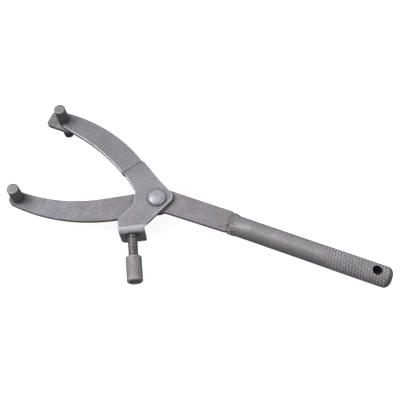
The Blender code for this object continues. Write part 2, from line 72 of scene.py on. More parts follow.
# Rivet and washer
RIVET_SHANK = 8.0
RIVET_HEAD = 15.0
RIVET_DOME = 2.8
WASHER_DIAMETER = 21.4
WASHER_THICKNESS = 3.0
TAIL_DIAMETER = 12.0
TAIL_HEIGHT = 2.0
TAIL_FLAT = 7.0

# Pins and tip plate
PIN_DIAMETER = 10.0
PIN_LOW_DIAMETER = 9.0
FIXED_PIN = (-110.5, -41.4)
MOVING_PIN = (-111.2, 42.0)
FIXED_PIN_RISE = 16.0  # above the top of the plate
MOVING_PIN_RISE = 15.2
MOVING_PIN_BOTTOM = -22.4
TIP_PLATE = 4.6

# Handle tube
TUBE_OD = 16.8
GRIP_OD = 17.2
TUBE_WALL = 2.0
TUBE_START = 69.0
TUBE_END = 194.7
MOUTH_WIDTH = 17.3
MOUTH_HEIGHT = 15.0
MOUTH_LENGTH = 12.0
END_DOME = 5.5
END_HOLE = 3.0
HANG_HOLE = 7.6
HANG_HOLE_LOW = 6.0
HANG_X = 182.0
KNURL_START = 136.0

# Lug and screw. Distances along the screw are from the point nearest the drawing origin.
SCREW_ANGLE = -62.1
SCREW_OFFSET = 24.5
SCREW_Z = -3.5
LUG_OUTER = 28.7
LUG_WIDTH = 20.7
LUG_SHIFT = 0.2
LUG_BOTTOM = -17.0
BEND_INSIDE = 2.0
M8_MAJOR = 7.9
M8_MINOR = 6.6
M8_PITCH = 1.25
THREAD_CLEARANCE = 0.18
PAD_START = 15.1
PAD_DIAMETER = 6.4
PAD_LENGTH = 4.4
PAD_SOCKET = 2.0
NOSE_DIAMETER = 3.2
KNOB_START = 47.1
KNOB_LENGTH = 21.6
KNOB_END = KNOB_START + KNOB_LENGTH
KNOB_DIAMETER = 13.0
KNOB_BORE_DEPTH = 12.0

screw_cos = math.cos(math.radians(SCREW_ANGLE))
screw_sin = math.sin(math.radians(SCREW_ANGLE))

# Joggle that lowers the moving arm: an arc, a ramp and a counter-arc along joggle_way
JOGGLE_AT = Vector((-31.2, 16.9))
JOGGLE_RADIUS = 2.4
JOGGLE_SLOPE = math.radians(50)
joggle_way = Vector((-14.1, 9.5)).normalized()
joggle_drop = LIFT - 2 * JOGGLE_RADIUS * (1 - math.cos(JOGGLE_SLOPE))
joggle_arc = JOGGLE_RADIUS * math.sin(JOGGLE_SLOPE)
joggle_ramp = joggle_drop / math.tan(JOGGLE_SLOPE)
joggle_length = 2 * joggle_arc + joggle_ramp
joggle_start = JOGGLE_AT.dot(joggle_way) - joggle_length / 2
joggle_end = joggle_start + joggle_length


# ---------------------------------------------------------------- shader nodes
class Nodes:
    """Adds shader nodes to a tree. Any input may be a value or another node's socket."""

    def __init__(self, tree):
        self.tree = tree

    def feed(self, socket, value):
        if isinstance(value, bpy.types.NodeSocket):
            self.tree.links.new(value, socket)
        elif socket.type == "RGBA" and len(value) == 3:
            socket.default_value = (*value, 1.0)
        else:
            socket.default_value = value

    def node(self, kind, inputs=None, **settings):
        made = self.tree.nodes.new(kind)
        for key, value in settings.items():
            setattr(made, key, value)
        for key, value in (inputs or {}).items():
            self.feed(made.inputs[key], value)
        return made

    def math(self, operation, a, b=None, clamp=False):
        inputs = {0: a} if b is None else {0: a, 1: b}
        made = self.node("ShaderNodeMath", inputs, operation=operation, use_clamp=clamp)
        return made.outputs[0]

    def vector(self, operation, a, b=None):
        inputs = {0: a} if b is None else {0: a, 1: b}
        made = self.node("ShaderNodeVectorMath", inputs, operation=operation)
        return made.outputs["Value" if operation in ("DOT_PRODUCT", "LENGTH") else "Vector"]

    def ramp(self, value, low, high, out_low=0.0, out_high=1.0):
        """Clamped linear map from low..high to out_low..out_high."""
        inputs = {
            "Value": value,
            "From Min": low,
            "From Max": high,
            "To Min": out_low,
            "To Max": out_high,
        }
        return self.node("ShaderNodeMapRange", inputs, clamp=True).outputs["Result"]

    def mix(self, factor, a, b, blend="MIX"):
        inputs = {0: factor, 6: a, 7: b}
        made = self.node("ShaderNodeMix", inputs, data_type="RGBA", blend_type=blend)
        return made.outputs[2]

    def grey(self, tone):
        return self.node("ShaderNodeCombineColor", {0: tone, 1: tone, 2: tone}).outputs[0]

    def shaded(self, base, tone):
        return self.mix(1.0, base, self.grey(tone), "MULTIPLY")

    def noise(self, vector, scale, detail=2.0, roughness=0.5, distortion=0.0):
        inputs = {
            "Vector": vector,
            "Scale": scale,
            "Detail": detail,
            "Roughness": roughness,
            "Distortion": distortion,
        }
        return self.node("ShaderNodeTexNoise", inputs).outputs["Fac"]

    def separate(self, vector):
        return self.node("ShaderNodeSeparateXYZ", {0: vector}).outputs

    def camera_ray(self):
        return self.node("ShaderNodeLightPath").outputs["Is Camera Ray"]


def new_material(name):
    """A node material, its node adder and its Principled shader."""
    material = bpy.data.materials.new(name)
    material.use_nodes = True
    tree = material.node_tree
    return material, Nodes(tree), tree.nodes["Principled BSDF"]


# ---------------------------------------------------------------- steel
# Brightness that runs between the two shade values over a span along a direction
Tone = namedtuple("Tone", "way span shade")
# Tint that gives way to the base colour over a span along a direction
Cool = namedtuple("Cool", "way span colour")
# Painted shade: dark ring where another piece stands, from least on along the axis
ShadeRing = namedtuple("ShadeRing", "point axis inner outer strength least")
# Painted shade in the roots and painted glint on the crests of a turned piece, from start on
# along the axis if given
GrooveShadeAndGlint = namedtuple("GrooveShadeAndGlint", "axis root crest strength gleam start", defaults=[None])
# Painted shade: dark wavering line at the foot of a bend or along the edge of a weld
Line = namedtuple("Line", "way position width strength wobble")
# Stretch along a direction where the painted highlight on rolled edges is mostly held back
RollGap = namedtuple("RollGap", "way middle half")
# Tool marks: straight ones across the angle, or rings about Z without one
Marks = namedtuple("Marks", "pitch angle depth", defaults=[None, 0.06])

steels = {}  # material of each slot


def scaled(colour, share, most=1.0):
    return tuple(min(most, channel * share) for channel in colour)


def add_roll_highlight(net, base, up, mm, rub, roll, gap, worn):
    """Paints a highlight, in the colour of rubbed edges, on edges that turn between upright and
    flat.
    """
    rising = net.ramp(up, 0.12, 0.45, 0.0, roll)
    roll_highlight = net.math("MULTIPLY", rising, net.ramp(up, 0.93, 0.985, 1.0, 0.0))
    roll_highlight = net.math("MULTIPLY", roll_highlight, net.ramp(rub, 0.3, 0.6, 0.45, 1.0), clamp=True)
    if gap:
        along = net.vector("DOT_PRODUCT", mm, gap.way)
        near = net.math("ABSOLUTE", net.math("SUBTRACT", along, gap.middle))
        kept = net.ramp(near, gap.half, gap.half + 1.5, 0.12, 1.0)
        roll_highlight = net.math("MULTIPLY", roll_highlight, kept)
    return net.mix(roll_highlight, base, worn)


def add_shade_ring(net, base, mm, rub, shade_ring, shade_colour):
    # Painted shade: darkens a ring round a standing piece's axis, beyond least along that axis
    offset = net.vector("SUBTRACT", mm, shade_ring.point)
    reach = net.vector("LENGTH", net.vector("CROSS_PRODUCT", offset, shade_ring.axis))
    ring = net.ramp(reach, shade_ring.inner, shade_ring.outer, shade_ring.strength, 0.0)
    ring = net.math("MULTIPLY", ring, net.ramp(rub, 0.3, 0.65, 0.7, 1.0))
    along = net.vector("DOT_PRODUCT", offset, shade_ring.axis)
    ring = net.math("MULTIPLY", ring, net.ramp(along, shade_ring.least, shade_ring.least + 1.0))
    return net.mix(ring, base, shade_colour)


def add_groove_shade_and_glint(net, base, mm, rub, groove, colour):
    parts = net.separate(mm)
    a, b = [parts[k] for k in range(3) if k != groove.axis]
    squares = net.math("ADD", net.math("MULTIPLY", a, a), net.math("MULTIPLY", b, b))
    reach = net.math("SQRT", squares)

    def from_start(mask):
        if groove.start is None:
            return mask
        begun = net.ramp(parts[groove.axis], groove.start, groove.start + 5.0)
        return net.math("MULTIPLY", mask, begun)

    # Painted shade in the roots
    deep = net.ramp(reach, groove.root, groove.crest, groove.strength, 0.0)
    deep = net.math("MULTIPLY", deep, net.ramp(rub, 0.3, 0.6, 0.75, 1.0))
    base = net.mix(from_start(deep), base, scaled(colour, 0.16))
    # Painted glint on the crests
    crest_glint_low = groove.crest - 0.25 * (groove.crest - groove.root)
    crest_glint = net.ramp(reach, crest_glint_low, groove.crest, 0.0, 0.7)
    crest_glint = net.math("MULTIPLY", crest_glint, net.ramp(rub, 0.35, 0.6, 0.3, 1.0))
    return net.mix(from_start(crest_glint), base, scaled(colour, groove.gleam, most=0.8))


def add_shade_line(net, base, mm, rub, shade_line, shade_colour):
    # Painted shade: a dark wavering band across the given direction
    parts = net.separate(mm)
    along_x = net.math("MULTIPLY", parts[0], shade_line.way[0])
    along = net.math("ADD", along_x, net.math("MULTIPLY", parts[1], shade_line.way[1]))
    waver = net.math("MULTIPLY", net.noise(mm, 0.30, 2.0, 0.6), shade_line.wobble)
    middle = shade_line.position + shade_line.wobble / 2
    off = net.math("ABSOLUTE", net.math("SUBTRACT", net.math("ADD", along, waver), middle))
    band = net.ramp(off, 0.15 * shade_line.width, shade_line.width, shade_line.strength, 0.0)
    band = net.math("MULTIPLY", band, net.ramp(rub, 0.3, 0.65, 0.7, 1.0))
    return net.mix(band, base, shade_colour)


def mark_wave(net, mm, rub, marks):
    """Sine wave across the tool marks."""
    parts = net.separate(mm)
    if marks.angle is None:
        flat = net.node("ShaderNodeCombineXYZ", {0: parts[0], 1: parts[1]}).outputs[0]
        reach = net.vector("LENGTH", flat)
        phase = net.math("ADD", reach, net.math("MULTIPLY", rub, 0.15))
    else:
        turned_x = net.math("MULTIPLY", parts[0], math.cos(marks.angle))
        turned_y = net.math("MULTIPLY", parts[1], math.sin(marks.angle))
        across = net.math("ADD", turned_x, turned_y)
        phase = net.math("ADD", across, net.math("MULTIPLY", rub, 0.5))
    return net.math("SINE", net.math("MULTIPLY", phase, 2 * math.pi / marks.pitch))


def steel(
    slot,
    colour,
    warm=None,  # second tint, in patches
    cool=None,
    roughness=0.62,
    grain=1.0,  # fineness of the grain
    grain_depth=0.05,  # mm
    mottling=0.10,  # strength of the cloudy patches
    speckle=0.14,  # strength of a coarser grain
    tones=(),
    flank=1.0,  # painted shade: brightness of upright sides
    wear=0.5,  # strength of rubbed edges
    wear_width=0.7,  # mm
    burnish_and_highlight=1.75,  # how much brighter rubbed edges and the painted highlight on rolled edges are
    roll=0.0,  # strength of the painted highlight on rolled-over edges
    roll_gap=None,
    crevice_shade=0.55,  # strength of the painted shade in recesses
    crevice_shade_reach=5.0,  # mm
    shade_rings=(),
    groove=None,
    shade_line=None,
    marks=None,
):
    """Bead-blasted steel: pitted grain, cloudy patches, bright rubbed edges and painted shade in
    recesses; optional painted shade rings, lines and sides, and painted highlights on rolled
    edges and groove crests.
    """
    material, net, shader = new_material(f"{slot}_look")
    where = net.node("ShaderNodeTexCoord").outputs["Object"]
    mm = net.vector("MULTIPLY", where, (1000, 1000, 1000))
    fine = net.noise(mm, 2.6 * grain, detail=3.0, roughness=0.65)
    pits = net.noise(mm, 0.95 * grain, detail=2.0, roughness=0.6)
    cloud = net.noise(mm, 0.085, detail=3.0, roughness=0.55, distortion=0.4)
    tint = net.noise(mm, 0.16, detail=2.0, roughness=0.5, distortion=0.8)
    streak = net.noise(mm, 0.33, detail=4.0, roughness=0.6)

    # Tints
    warm = warm or (colour[0] * 1.02, colour[1] * 0.99, colour[2] * 0.97)
    base = net.mix(net.ramp(tint, 0.35, 0.65), colour, warm)
    if cool:
        along = net.vector("DOT_PRODUCT", mm, cool.way)
        base = net.mix(net.ramp(along, *cool.span), cool.colour, base)

    # Brightness
    shade = net.ramp(cloud, 0.3, 0.7, 1 - mottling, 1 + mottling)
    shade = net.math("MULTIPLY", shade, net.ramp(fine, 0.3, 0.72, 0.80, 1.16))
    shade = net.math("MULTIPLY", shade, net.ramp(pits, 0.30, 0.62, 0.82, 1.06))
    shade = net.math("MULTIPLY", shade, net.ramp(streak, 0.35, 0.7, 0.95, 1.05))
    coarse = net.noise(mm, 0.85, detail=2.0, roughness=0.55, distortion=0.3)
    speckles = net.ramp(coarse, 0.32, 0.68, 1 - speckle, 1 + speckle)
    shade = net.math("MULTIPLY", shade, speckles)
    for tone in tones:
        along = net.vector("DOT_PRODUCT", mm, tone.way)
        shade = net.math("MULTIPLY", shade, net.ramp(along, *tone.span, *tone.shade))
    base = net.shaded(base, shade)

    normal = net.node("ShaderNodeNewGeometry").outputs["Normal"]
    if roll or flank != 1.0:
        up = net.separate(normal)[2]
    # Painted shade: upright sides darkened by flank
    if flank != 1.0:
        base = net.shaded(base, net.ramp(net.math("ABSOLUTE", up), 0.3, 0.8, flank, 1.0))

    # Edges: where a rounded normal leaves the true one, broken up by noise
    soft = net.node("ShaderNodeBevel", {"Radius": wear_width * MM}, samples=6).outputs[0]
    match = net.vector("DOT_PRODUCT", soft, normal)
    edge = net.ramp(net.math("SUBTRACT", 1.0, match), 0.015, 0.16)
    rub = net.noise(mm, 0.42, detail=4.0, roughness=0.7)
    edge = net.math("MULTIPLY", edge, net.ramp(rub, 0.36, 0.62, 0.15, 1.0))
    edge = net.math("MULTIPLY", edge, wear, clamp=True)
    # Colour of rubbed edges, also used for the painted highlight on rolled edges
    worn = tuple(min(0.85, channel * burnish_and_highlight + 0.04) for channel in colour)
    base = net.mix(edge, base, worn)
    # Painted highlight on rolled edges
    if roll:
        base = add_roll_highlight(net, base, up, mm, rub, roll, roll_gap, worn)

    # Painted shade: recesses darkened by ambient occlusion, as shade falls there
    reach = {"Distance": crevice_shade_reach * MM}
    occlusion = net.node("ShaderNodeAmbientOcclusion", reach, samples=6).outputs["AO"]
    recess_shade = net.ramp(occlusion, 0.25, 0.85, crevice_shade, 0.0)
    recess_shade = net.math("MULTIPLY", recess_shade, net.ramp(streak, 0.3, 0.6, 0.7, 1.0))
    base = net.mix(recess_shade, base, scaled(colour, 0.28))

    # Colour of the painted shade in rings and lines
    shade_colour = scaled(colour, 0.2)
    for shade_ring in shade_rings:
        base = add_shade_ring(net, base, mm, rub, shade_ring, shade_colour)
    # Painted shade in groove roots and painted glint on their crests
    if groove:
        base = add_groove_shade_and_glint(net, base, mm, rub, groove, colour)
    if shade_line:
        base = add_shade_line(net, base, mm, rub, shade_line, shade_colour)

    height = net.math("ADD", net.math("MULTIPLY", fine, 0.6), net.math("MULTIPLY", pits, 0.8))
    if marks:
        wave = mark_wave(net, mm, rub, marks)
        height = net.math("ADD", height, net.math("MULTIPLY", wave, 0.16))
        base = net.shaded(base, net.ramp(wave, -1.0, 1.0, 1 - marks.depth, 1 + marks.depth))
    relief = {"Height": height, "Strength": 0.9, "Distance": grain_depth * MM}
    bump = net.node("ShaderNodeBump", relief).outputs[0]
    rough = net.ramp(pits, 0.3, 0.7, roughness + 0.10, roughness - 0.06)
    rough = net.math("SUBTRACT", rough, net.math("MULTIPLY", edge, 0.14))

    shader.inputs["Base Color"].default_value = (*colour, 1.0)
    shader.inputs["Roughness"].default_value = roughness
    shader.inputs["Metallic"].default_value = 0.45
    net.feed(shader.inputs["Base Color"], base)
    net.feed(shader.inputs["Roughness"], rough)
    net.feed(shader.inputs["Normal"], bump)
    material.diffuse_color = (*colour, 1.0)
    steels[slot] = material


X_WAY = (1, 0, 0)
UPRIGHT = (0.0, 0.0, 1.0)
JOGGLE_WAY = (joggle_way.x, joggle_way.y, 0)
SCREW_AXIS = (screw_cos, screw_sin, 0.0)
SCREW_POINT = (screw_sin * SCREW_OFFSET, -screw_cos * SCREW_OFFSET, SCREW_Z)

steel(
    "bar_steel",
    (0.243, 0.232, 0.258),
    warm=(0.256, 0.234, 0.248),
    cool=Cool(way=X_WAY, span=(-82, -22), colour=(0.252, 0.245, 0.272)),
    mottling=0.12,
    tones=[
        Tone(way=X_WAY, span=(-116, -84), shade=(0.76, 1.0)),
        Tone(way=X_WAY, span=(-75, -35), shade=(1.08, 1.0)),
    ],
    wear=0.75,
    # Painted highlight on rolled edges
    roll=0.3,
    crevice_shade=0.85,
    # Painted shade round the fixed pin's foot
    shade_rings=[ShadeRing((*FIXED_PIN, 0), UPRIGHT, inner=4.9, outer=8.5, strength=0.42, least=0.0)],
)
steel(
    "arm_steel",
    (0.277, 0.274, 0.304),
    warm=(0.284, 0.274, 0.290),
    mottling=0.08,
    tones=[
        Tone(way=JOGGLE_WAY, span=(joggle_start - 18, joggle_start + 22), shade=(1.0, 0.83)),
        # Painted shade over the joggle's slope, and painted light just past its foot
        Tone(way=JOGGLE_WAY, span=(joggle_start - 0.4, joggle_start + 0.9), shade=(1.0, 0.90)),
        Tone(way=JOGGLE_WAY, span=(joggle_end - 0.2, joggle_end + 1.2), shade=(1.0, 1.10)),
        # Painted highlight over the outer skin of the lug's bend, held on over the lug's outer
        # face
        Tone(way=SCREW_AXIS, span=(27.0, LUG_OUTER - 0.1), shade=(1.0, 1.12)),
    ],
    wear=1.0,
    wear_width=0.8,
    burnish_and_highlight=2.3,
    # Painted highlight on rolled edges
    roll=1.0,
    roll_gap=RollGap(JOGGLE_WAY, middle=joggle_start + joggle_length / 2, half=joggle_length / 2),
    shade_rings=[
        # Painted shade round the rivet head, round the tapped hole in the lug and round the
        # moving pin's foot
        ShadeRing((*PIVOT, 0), UPRIGHT, inner=7.9, outer=9.4, strength=0.55, least=3.0),
        ShadeRing(SCREW_POINT, SCREW_AXIS, inner=4.6, outer=7.5, strength=0.8, least=24.0),
        ShadeRing((*MOVING_PIN, 0), UPRIGHT, inner=5.0, outer=9.0, strength=0.6, least=0.0),
    ],
    # Painted shade at the foot of the joggle
    shade_line=Line(JOGGLE_WAY, position=joggle_end - 0.6, width=1.5, strength=0.9, wobble=0.3),
)
steel(
    "pin_steel",
    (0.236, 0.234, 0.246),
    roughness=0.50,
    grain_depth=0.035,
    # Painted shade low on the pin's shaft and on its upright side
    tones=[Tone(way=UPRIGHT, span=(2.0, 9.0), shade=(0.66, 1.0))],
    flank=0.78,
    wear=0.6,
    marks=Marks(pitch=0.8),
)
steel(
    "rivet_steel",
    (0.375, 0.358, 0.412),
    roughness=0.42,
    grain=0.7,
    grain_depth=0.07,
    mottling=0.24,
    speckle=0.16,
    wear=0.3,
)
steel("washer_steel", (0.22, 0.215, 0.23), roughness=0.60, crevice_shade=0.8, marks=Marks(pitch=1.0))
steel(
    "tip_steel",
    (0.255, 0.250, 0.262),
    roughness=0.52,
    grain_depth=0.14,
    mottling=0.25,
    speckle=0.45,
    wear=1.0,
    burnish_and_highlight=2.2,
    crevice_shade=0.85,
    marks=Marks(pitch=1.9, angle=math.radians(58), depth=0.30),
)
steel(
    "tube_steel",
    (0.275, 0.267, 0.286),
    roughness=0.50,
    grain_depth=0.05,
    speckle=0.10,
    # Painted shade on the tube's lower, -Y side
    tones=[Tone(way=(0, 0.8, 0.6), span=(-7.8, -1.5), shade=(0.80, 1.0))],
    wear=0.7,
    wear_width=0.3,
    burnish_and_highlight=2.1,
    crevice_shade=0.75,
    crevice_shade_reach=1.4,
    # Painted shade in the knurl's grooves and painted glint on its crests
    groove=GrooveShadeAndGlint(
        axis=0,
        root=GRIP_OD / 2 - 0.66,
        crest=GRIP_OD / 2 - 0.10,
        strength=0.62,
        gleam=1.7,
        start=KNURL_START + 2.0,
    ),
)
steel(
    "weld_steel",
    (0.285, 0.270, 0.294),
    roughness=0.42,
    grain=0.8,
    grain_depth=0.16,
    mottling=0.35,
    speckle=0.26,
    wear=0.9,
    wear_width=0.5,
    burnish_and_highlight=2.1,
    crevice_shade=0.9,
    crevice_shade_reach=2.5,
    # Painted shade along the weld's edge by the bar's end
    shade_line=Line(X_WAY, position=61.0, width=1.5, strength=0.85, wobble=6.0),
)
steel(
    "stud_steel",
    (0.205, 0.198, 0.200),
    roughness=0.38,
    grain_depth=0.02,
    # Painted shadow of the lug on the stud, next to the lug's outer face
    tones=[Tone(way=UPRIGHT, span=(LUG_OUTER + 0.2, LUG_OUTER + 3.6), shade=(0.30, 1.0))],
    wear=0.7,
    wear_width=0.15,
    crevice_shade=0.9,
    crevice_shade_reach=1.2,
    # Painted shade in the thread's roots and painted glint on its crests
    groove=GrooveShadeAndGlint(axis=2, root=M8_MINOR / 2, crest=M8_MAJOR / 2 - 0.05, strength=1.0, gleam=3.4),
)
steel(
    "knob_steel",
    (0.335, 0.319, 0.334),
    roughness=0.50,
    grain_depth=0.03,
    speckle=0.16,
    # Painted light: the end face is brightened beyond what the lights give it
    tones=[Tone(way=UPRIGHT, span=(KNOB_END - 1.1, KNOB_END - 0.2), shade=(1.0, 1.55))],
    wear=0.5,
    wear_width=0.2,
    crevice_shade=0.6,
    crevice_shade_reach=0.8,
    # Painted shade in the knurl's grooves and painted glint on its crests
    groove=GrooveShadeAndGlint(
        axis=2,
        root=KNOB_DIAMETER / 2 - 0.42,
        crest=KNOB_DIAMETER / 2 - 0.02,
        strength=0.5,
        gleam=1.6,
    ),
)
steel("pad_steel", (0.235, 0.230, 0.238), roughness=0.50)


# ---------------------------------------------------------------- mesh helpers, all in mm
def rounded(corners, straight=2.5):
    """Clockwise outline through corners (x, y, fillet radius), arcs and straights divided."""
    arc_step = 0.7
    count = len(corners)
    arcs = []
    for i, (x, y, radius) in enumerate(corners):
        corner = Vector((x, y))
        if radius <= 0:
            arcs.append([corner])
            continue
        back = (Vector(corners[i - 1][:2]) - corner).normalized()
        ahead = (Vector(corners[(i + 1) % count][:2]) - corner).normalized()
        half = math.acos(max(-1.0, min(1.0, back.dot(ahead)))) / 2
        turn = math.pi - 2 * half
        centre = corner + (back + ahead).normalized() * (radius / math.sin(half))
        arm = corner + back * (radius / math.tan(half)) - centre
        side = 1 if back.x * ahead.y - back.y * ahead.x < 0 else -1
        pieces = max(6, min(70, math.ceil(turn * radius / arc_step)))
        arc = []
        for k in range(pieces + 1):
            angle = side * turn * k / pieces
            cos, sin = math.cos(angle), math.sin(angle)
            arc.append(centre + Vector((arm.x * cos - arm.y * sin, arm.x * sin + arm.y * cos)))
        arcs.append(arc)
    points = []
    for i, arc in enumerate(arcs):
        points += arc
        start, end = arc[-1], arcs[(i + 1) % count][0]
        pieces = int((end - start).length // straight)
        for k in range(1, pieces):
            points.append(start.lerp(end, k / pieces))
    area = sum(a.x * b.y - b.x * a.y for a, b in zip(points, points[1:] + points[:1])) / 2
    return points[::-1] if area > 0 else points


def inset_point(points, i, distance):
    """Point i of a clockwise outline moved inwards by the distance."""
    point = points[i]
    before = (point - points[i - 1]).normalized()
    after = (points[(i + 1) % len(points)] - point).normalized()
    inward = Vector((before.y, -before.x))
    middle = (inward + Vector((after.y, -after.x))).normalized()
    return point + middle * (distance / max(0.5, middle.dot(inward)))


def bridge(shape, low, high):
    """Quads between two closed loops of vertices."""
    for k in range(len(low)):
        after = (k + 1) % len(low)
        shape.faces.new((low[k], low[after], high[after], high[k]))


def recalculate(shape):
    bmesh.ops.recalc_face_normals(shape, faces=shape.faces)
    return shape


def loft(rows, ring=False):
    """Solid through closed rows of points, capped, or as a ring joined from last to first."""
    shape = bmesh.new()
    loops = [[shape.verts.new(point) for point in row] for row in rows]
    for low, high in zip(loops, loops[1:] + (loops[:1] if ring else [])):
        bridge(shape, low, high)
    if not ring:
        shape.faces.new(loops[0])
        shape.faces.new(loops[-1])
    return recalculate(shape)


def prism(low_points, high_points):
    shape = bmesh.new()
    low = [shape.verts.new(point) for point in low_points]
    high = [shape.verts.new(point) for point in high_points]
    shape.faces.new(low)
    shape.faces.new(high)
    bridge(shape, low, high)
    return recalculate(shape)


def sheared_plate(outline, bottom, top, low_edge=0.45, high_edge=0.8, roll=None):
    """A blanked plate: the top edge rolled over, the bottom one sharper, and a slightly
    stepped fracture band between. roll(point) widens the top rollover where it is over 1."""
    wide = [roll(point) if roll else 1.0 for point in outline]
    # Inset, further inset that widens with the roll, height, drop that widens with the roll
    rows = [(low_edge + 0.5, 0.0, bottom, 0.0)]
    for degrees in (0, 30, 60, 90):
        t = math.radians(degrees)
        z = bottom + low_edge * (1 - math.cos(t))
        rows.append((low_edge * (1 - math.sin(t)) + 0.1, 0.0, z, 0.0))
    rows.append((0.11, 0.0, bottom + 1.35, 0.0))
    rows.append((0.0, 0.0, bottom + 1.75, 0.0))
    for degrees in (90, 75, 60, 45, 30, 15, 0):
        t = math.radians(degrees)
        rows.append((0.0, high_edge * (1 - math.sin(t)), top, high_edge * (1 - math.cos(t))))
    rows.append((0.35, high_edge, top, 0.0))
    loops = []
    for fixed, spread, z, drop in rows:
        loop = []
        for i, width in enumerate(wide):
            point = inset_point(outline, i, fixed + spread * width)
            loop.append((point.x, point.y, z - drop * min(1.5, width)))
        loops.append(loop)
    return loft(loops)


def slice_across(shape, way, distances):
    normal = Vector((way.x, way.y, 0))
    for distance in distances:
        bmesh.ops.bisect_plane(
            shape,
            geom=shape.verts[:] + shape.edges[:] + shape.faces[:],
            plane_co=normal * distance,
            plane_no=normal,
            dist=1e-6,
        )


def on_circle(radius, angle, z):
    return (radius * math.cos(angle), radius * math.sin(angle), z)


def lathe(profile, segments, ripple=None):
    """Solid turned about Z from (radius, z) stations. ripple(radius, angle, z) gives a new
    radius."""
    shape = bmesh.new()
    rings = []
    for radius, z in profile:
        if radius < 1e-9:
            rings.append([shape.verts.new((0, 0, z))])
            continue
        ring = []
        for k in range(segments):
            angle = 2 * math.pi * k / segments
            reach = ripple(radius, angle, z) if ripple else radius
            ring.append(shape.verts.new(on_circle(reach, angle, z)))
        rings.append(ring)
    for low, high in zip(rings, rings[1:]):
        if len(low) > 1 and len(high) > 1:
            bridge(shape, low, high)
            continue
        for k in range(segments):
            after = (k + 1) % segments
            if len(low) == 1:
                shape.faces.new((low[0], high[k], high[after]))
            else:
                shape.faces.new((low[k], low[after], high[0]))
    return recalculate(shape)


def cylinder(radius, low, high, segments=48):
    return lathe([(0, low), (radius, low), (radius, high), (0, high)], segments)


def helix_rod(major, minor, pitch, start, end, segments, lead=0.9):
    """Threaded rod along +Z between two diameters, with flat crests and roots, brought down
    to the root over the lead at each end."""
    crest, root = 0.22 * pitch, 0.18 * pitch
    flank = (pitch - crest - root) / 2
    marks = (0.0, crest, crest + flank, crest + flank + root)

    def radius_at(z, angle):
        phase = (z - pitch * angle / (2 * math.pi)) % pitch
        if phase < crest:
            width = major
        elif phase < crest + flank:
            width = major + (minor - major) * (phase - crest) / flank
        elif phase < crest + flank + root:
            width = minor
        else:
            width = minor + (major - minor) * (phase - crest - flank - root) / flank
        near = min(z - start, end - z)
        return min(width, minor + (major - minor) * max(0.0, min(1.0, near / lead))) / 2

    shape = bmesh.new()
    rows = []
    first, last = math.floor((start - pitch) / pitch), math.ceil((end + pitch) / pitch)
    for turn in range(first, last + 1):
        for offset in marks:
            row = []
            for k in range(segments + 1):
                angle = 2 * math.pi * k / segments
                z = max(start, min(end, turn * pitch + offset + pitch * k / segments))
                row.append(shape.verts.new(on_circle(radius_at(z, angle), angle, z)))
            rows.append(row)
    for low, high in zip(rows, rows[1:]):
        for k in range(segments):
            shape.faces.new((low[k], low[k + 1], high[k + 1], high[k]))
    bmesh.ops.remove_doubles(shape, verts=shape.verts, dist=1e-5)
    bmesh.ops.dissolve_degenerate(shape, edges=shape.edges, dist=1e-5)
    for z in (start, end):
        rim = [
            edge
            for edge in shape.edges
            if edge.is_boundary and all(abs(vertex.co.z - z) < 1e-4 for vertex in edge.verts)
        ]
        bmesh.ops.contextual_create(shape, geom=rim)
    return recalculate(shape)


def ridge(phase, flat):
    """Ridge with a flat top: 1 on top, 0 in the groove, for a phase in turns."""
    off = abs((phase % 1.0) - 0.5) * 2
    return max(0.0, min(1.0, (1 - off) / (1 - flat))) if off > flat else 1.0


# ---------------------------------------------------------------- placing and finishing
def piece(shape, name, place=None):
    """Turns a bmesh in mm into an object in metres. place is its matrix in the drawing."""
    bmesh.ops.scale(shape, vec=(MM, MM, MM), verts=shape.verts)
    mesh = bpy.data.meshes.new(name)
    shape.to_mesh(mesh)
    shape.free()
    obj = bpy.data.objects.new(name, mesh)
    bpy.context.scene.collection.objects.link(obj)
    shift = Matrix.Translation((-PIVOT[0] * MM, -PIVOT[1] * MM, BAR_MID * MM))
    obj.matrix_world = shift @ (place or Matrix.Identity(4))
    return obj


def at(x, y):
    return Matrix.Translation((x * MM, y * MM, 0))


def axes_matrix(x_axis, y_axis, z_axis, origin):
    matrix = Matrix.Identity(4)
    for row in range(3):
        matrix[row][0], matrix[row][1], matrix[row][2] = x_axis[row], y_axis[row], z_axis[row]
    matrix.translation = origin
    return matrix


def screw_matrix():
    """+Z outwards along the screw, +Y up."""
    axis = Vector((screw_cos, screw_sin, 0))
    side = Vector((screw_sin, -screw_cos, 0))
    up = Vector((0, 0, 1))
    origin = (side * SCREW_OFFSET + up * SCREW_Z) * MM
    return axes_matrix(up.cross(axis), up, axis, origin)


SCREW_PLACE = screw_matrix()


def combine(obj, tools, operation="DIFFERENCE"):
    """Applies EXACT Booleans and removes the tools."""
    bpy.context.view_layer.update()
    for tool in tools:
        modifier = obj.modifiers.new("cut", "BOOLEAN")
        modifier.operation = operation
        modifier.solver = "EXACT"
        modifier.object = tool
    bpy.context.view_layer.update()
    graph = bpy.context.evaluated_depsgraph_get()
    made = bpy.data.meshes.new_from_object(obj.evaluated_get(graph))
    obj.modifiers.clear()
    obj.data = made
    for tool in tools:
        bpy.data.objects.remove(tool, do_unlink=True)


def finish_piece(obj, slot, body, node, angle=32):
    """Gives a piece its steel and sharp edges, and tells the frame what it rides and replaces."""
    obj.data.materials.clear()
    obj.data.materials.append(steels[slot])
    for polygon in obj.data.polygons:
        polygon.material_index = 0
    obj.data.shade_smooth()
    obj.data.set_sharp_from_angle(angle=math.radians(angle))
    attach(obj, body)
    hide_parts(node)


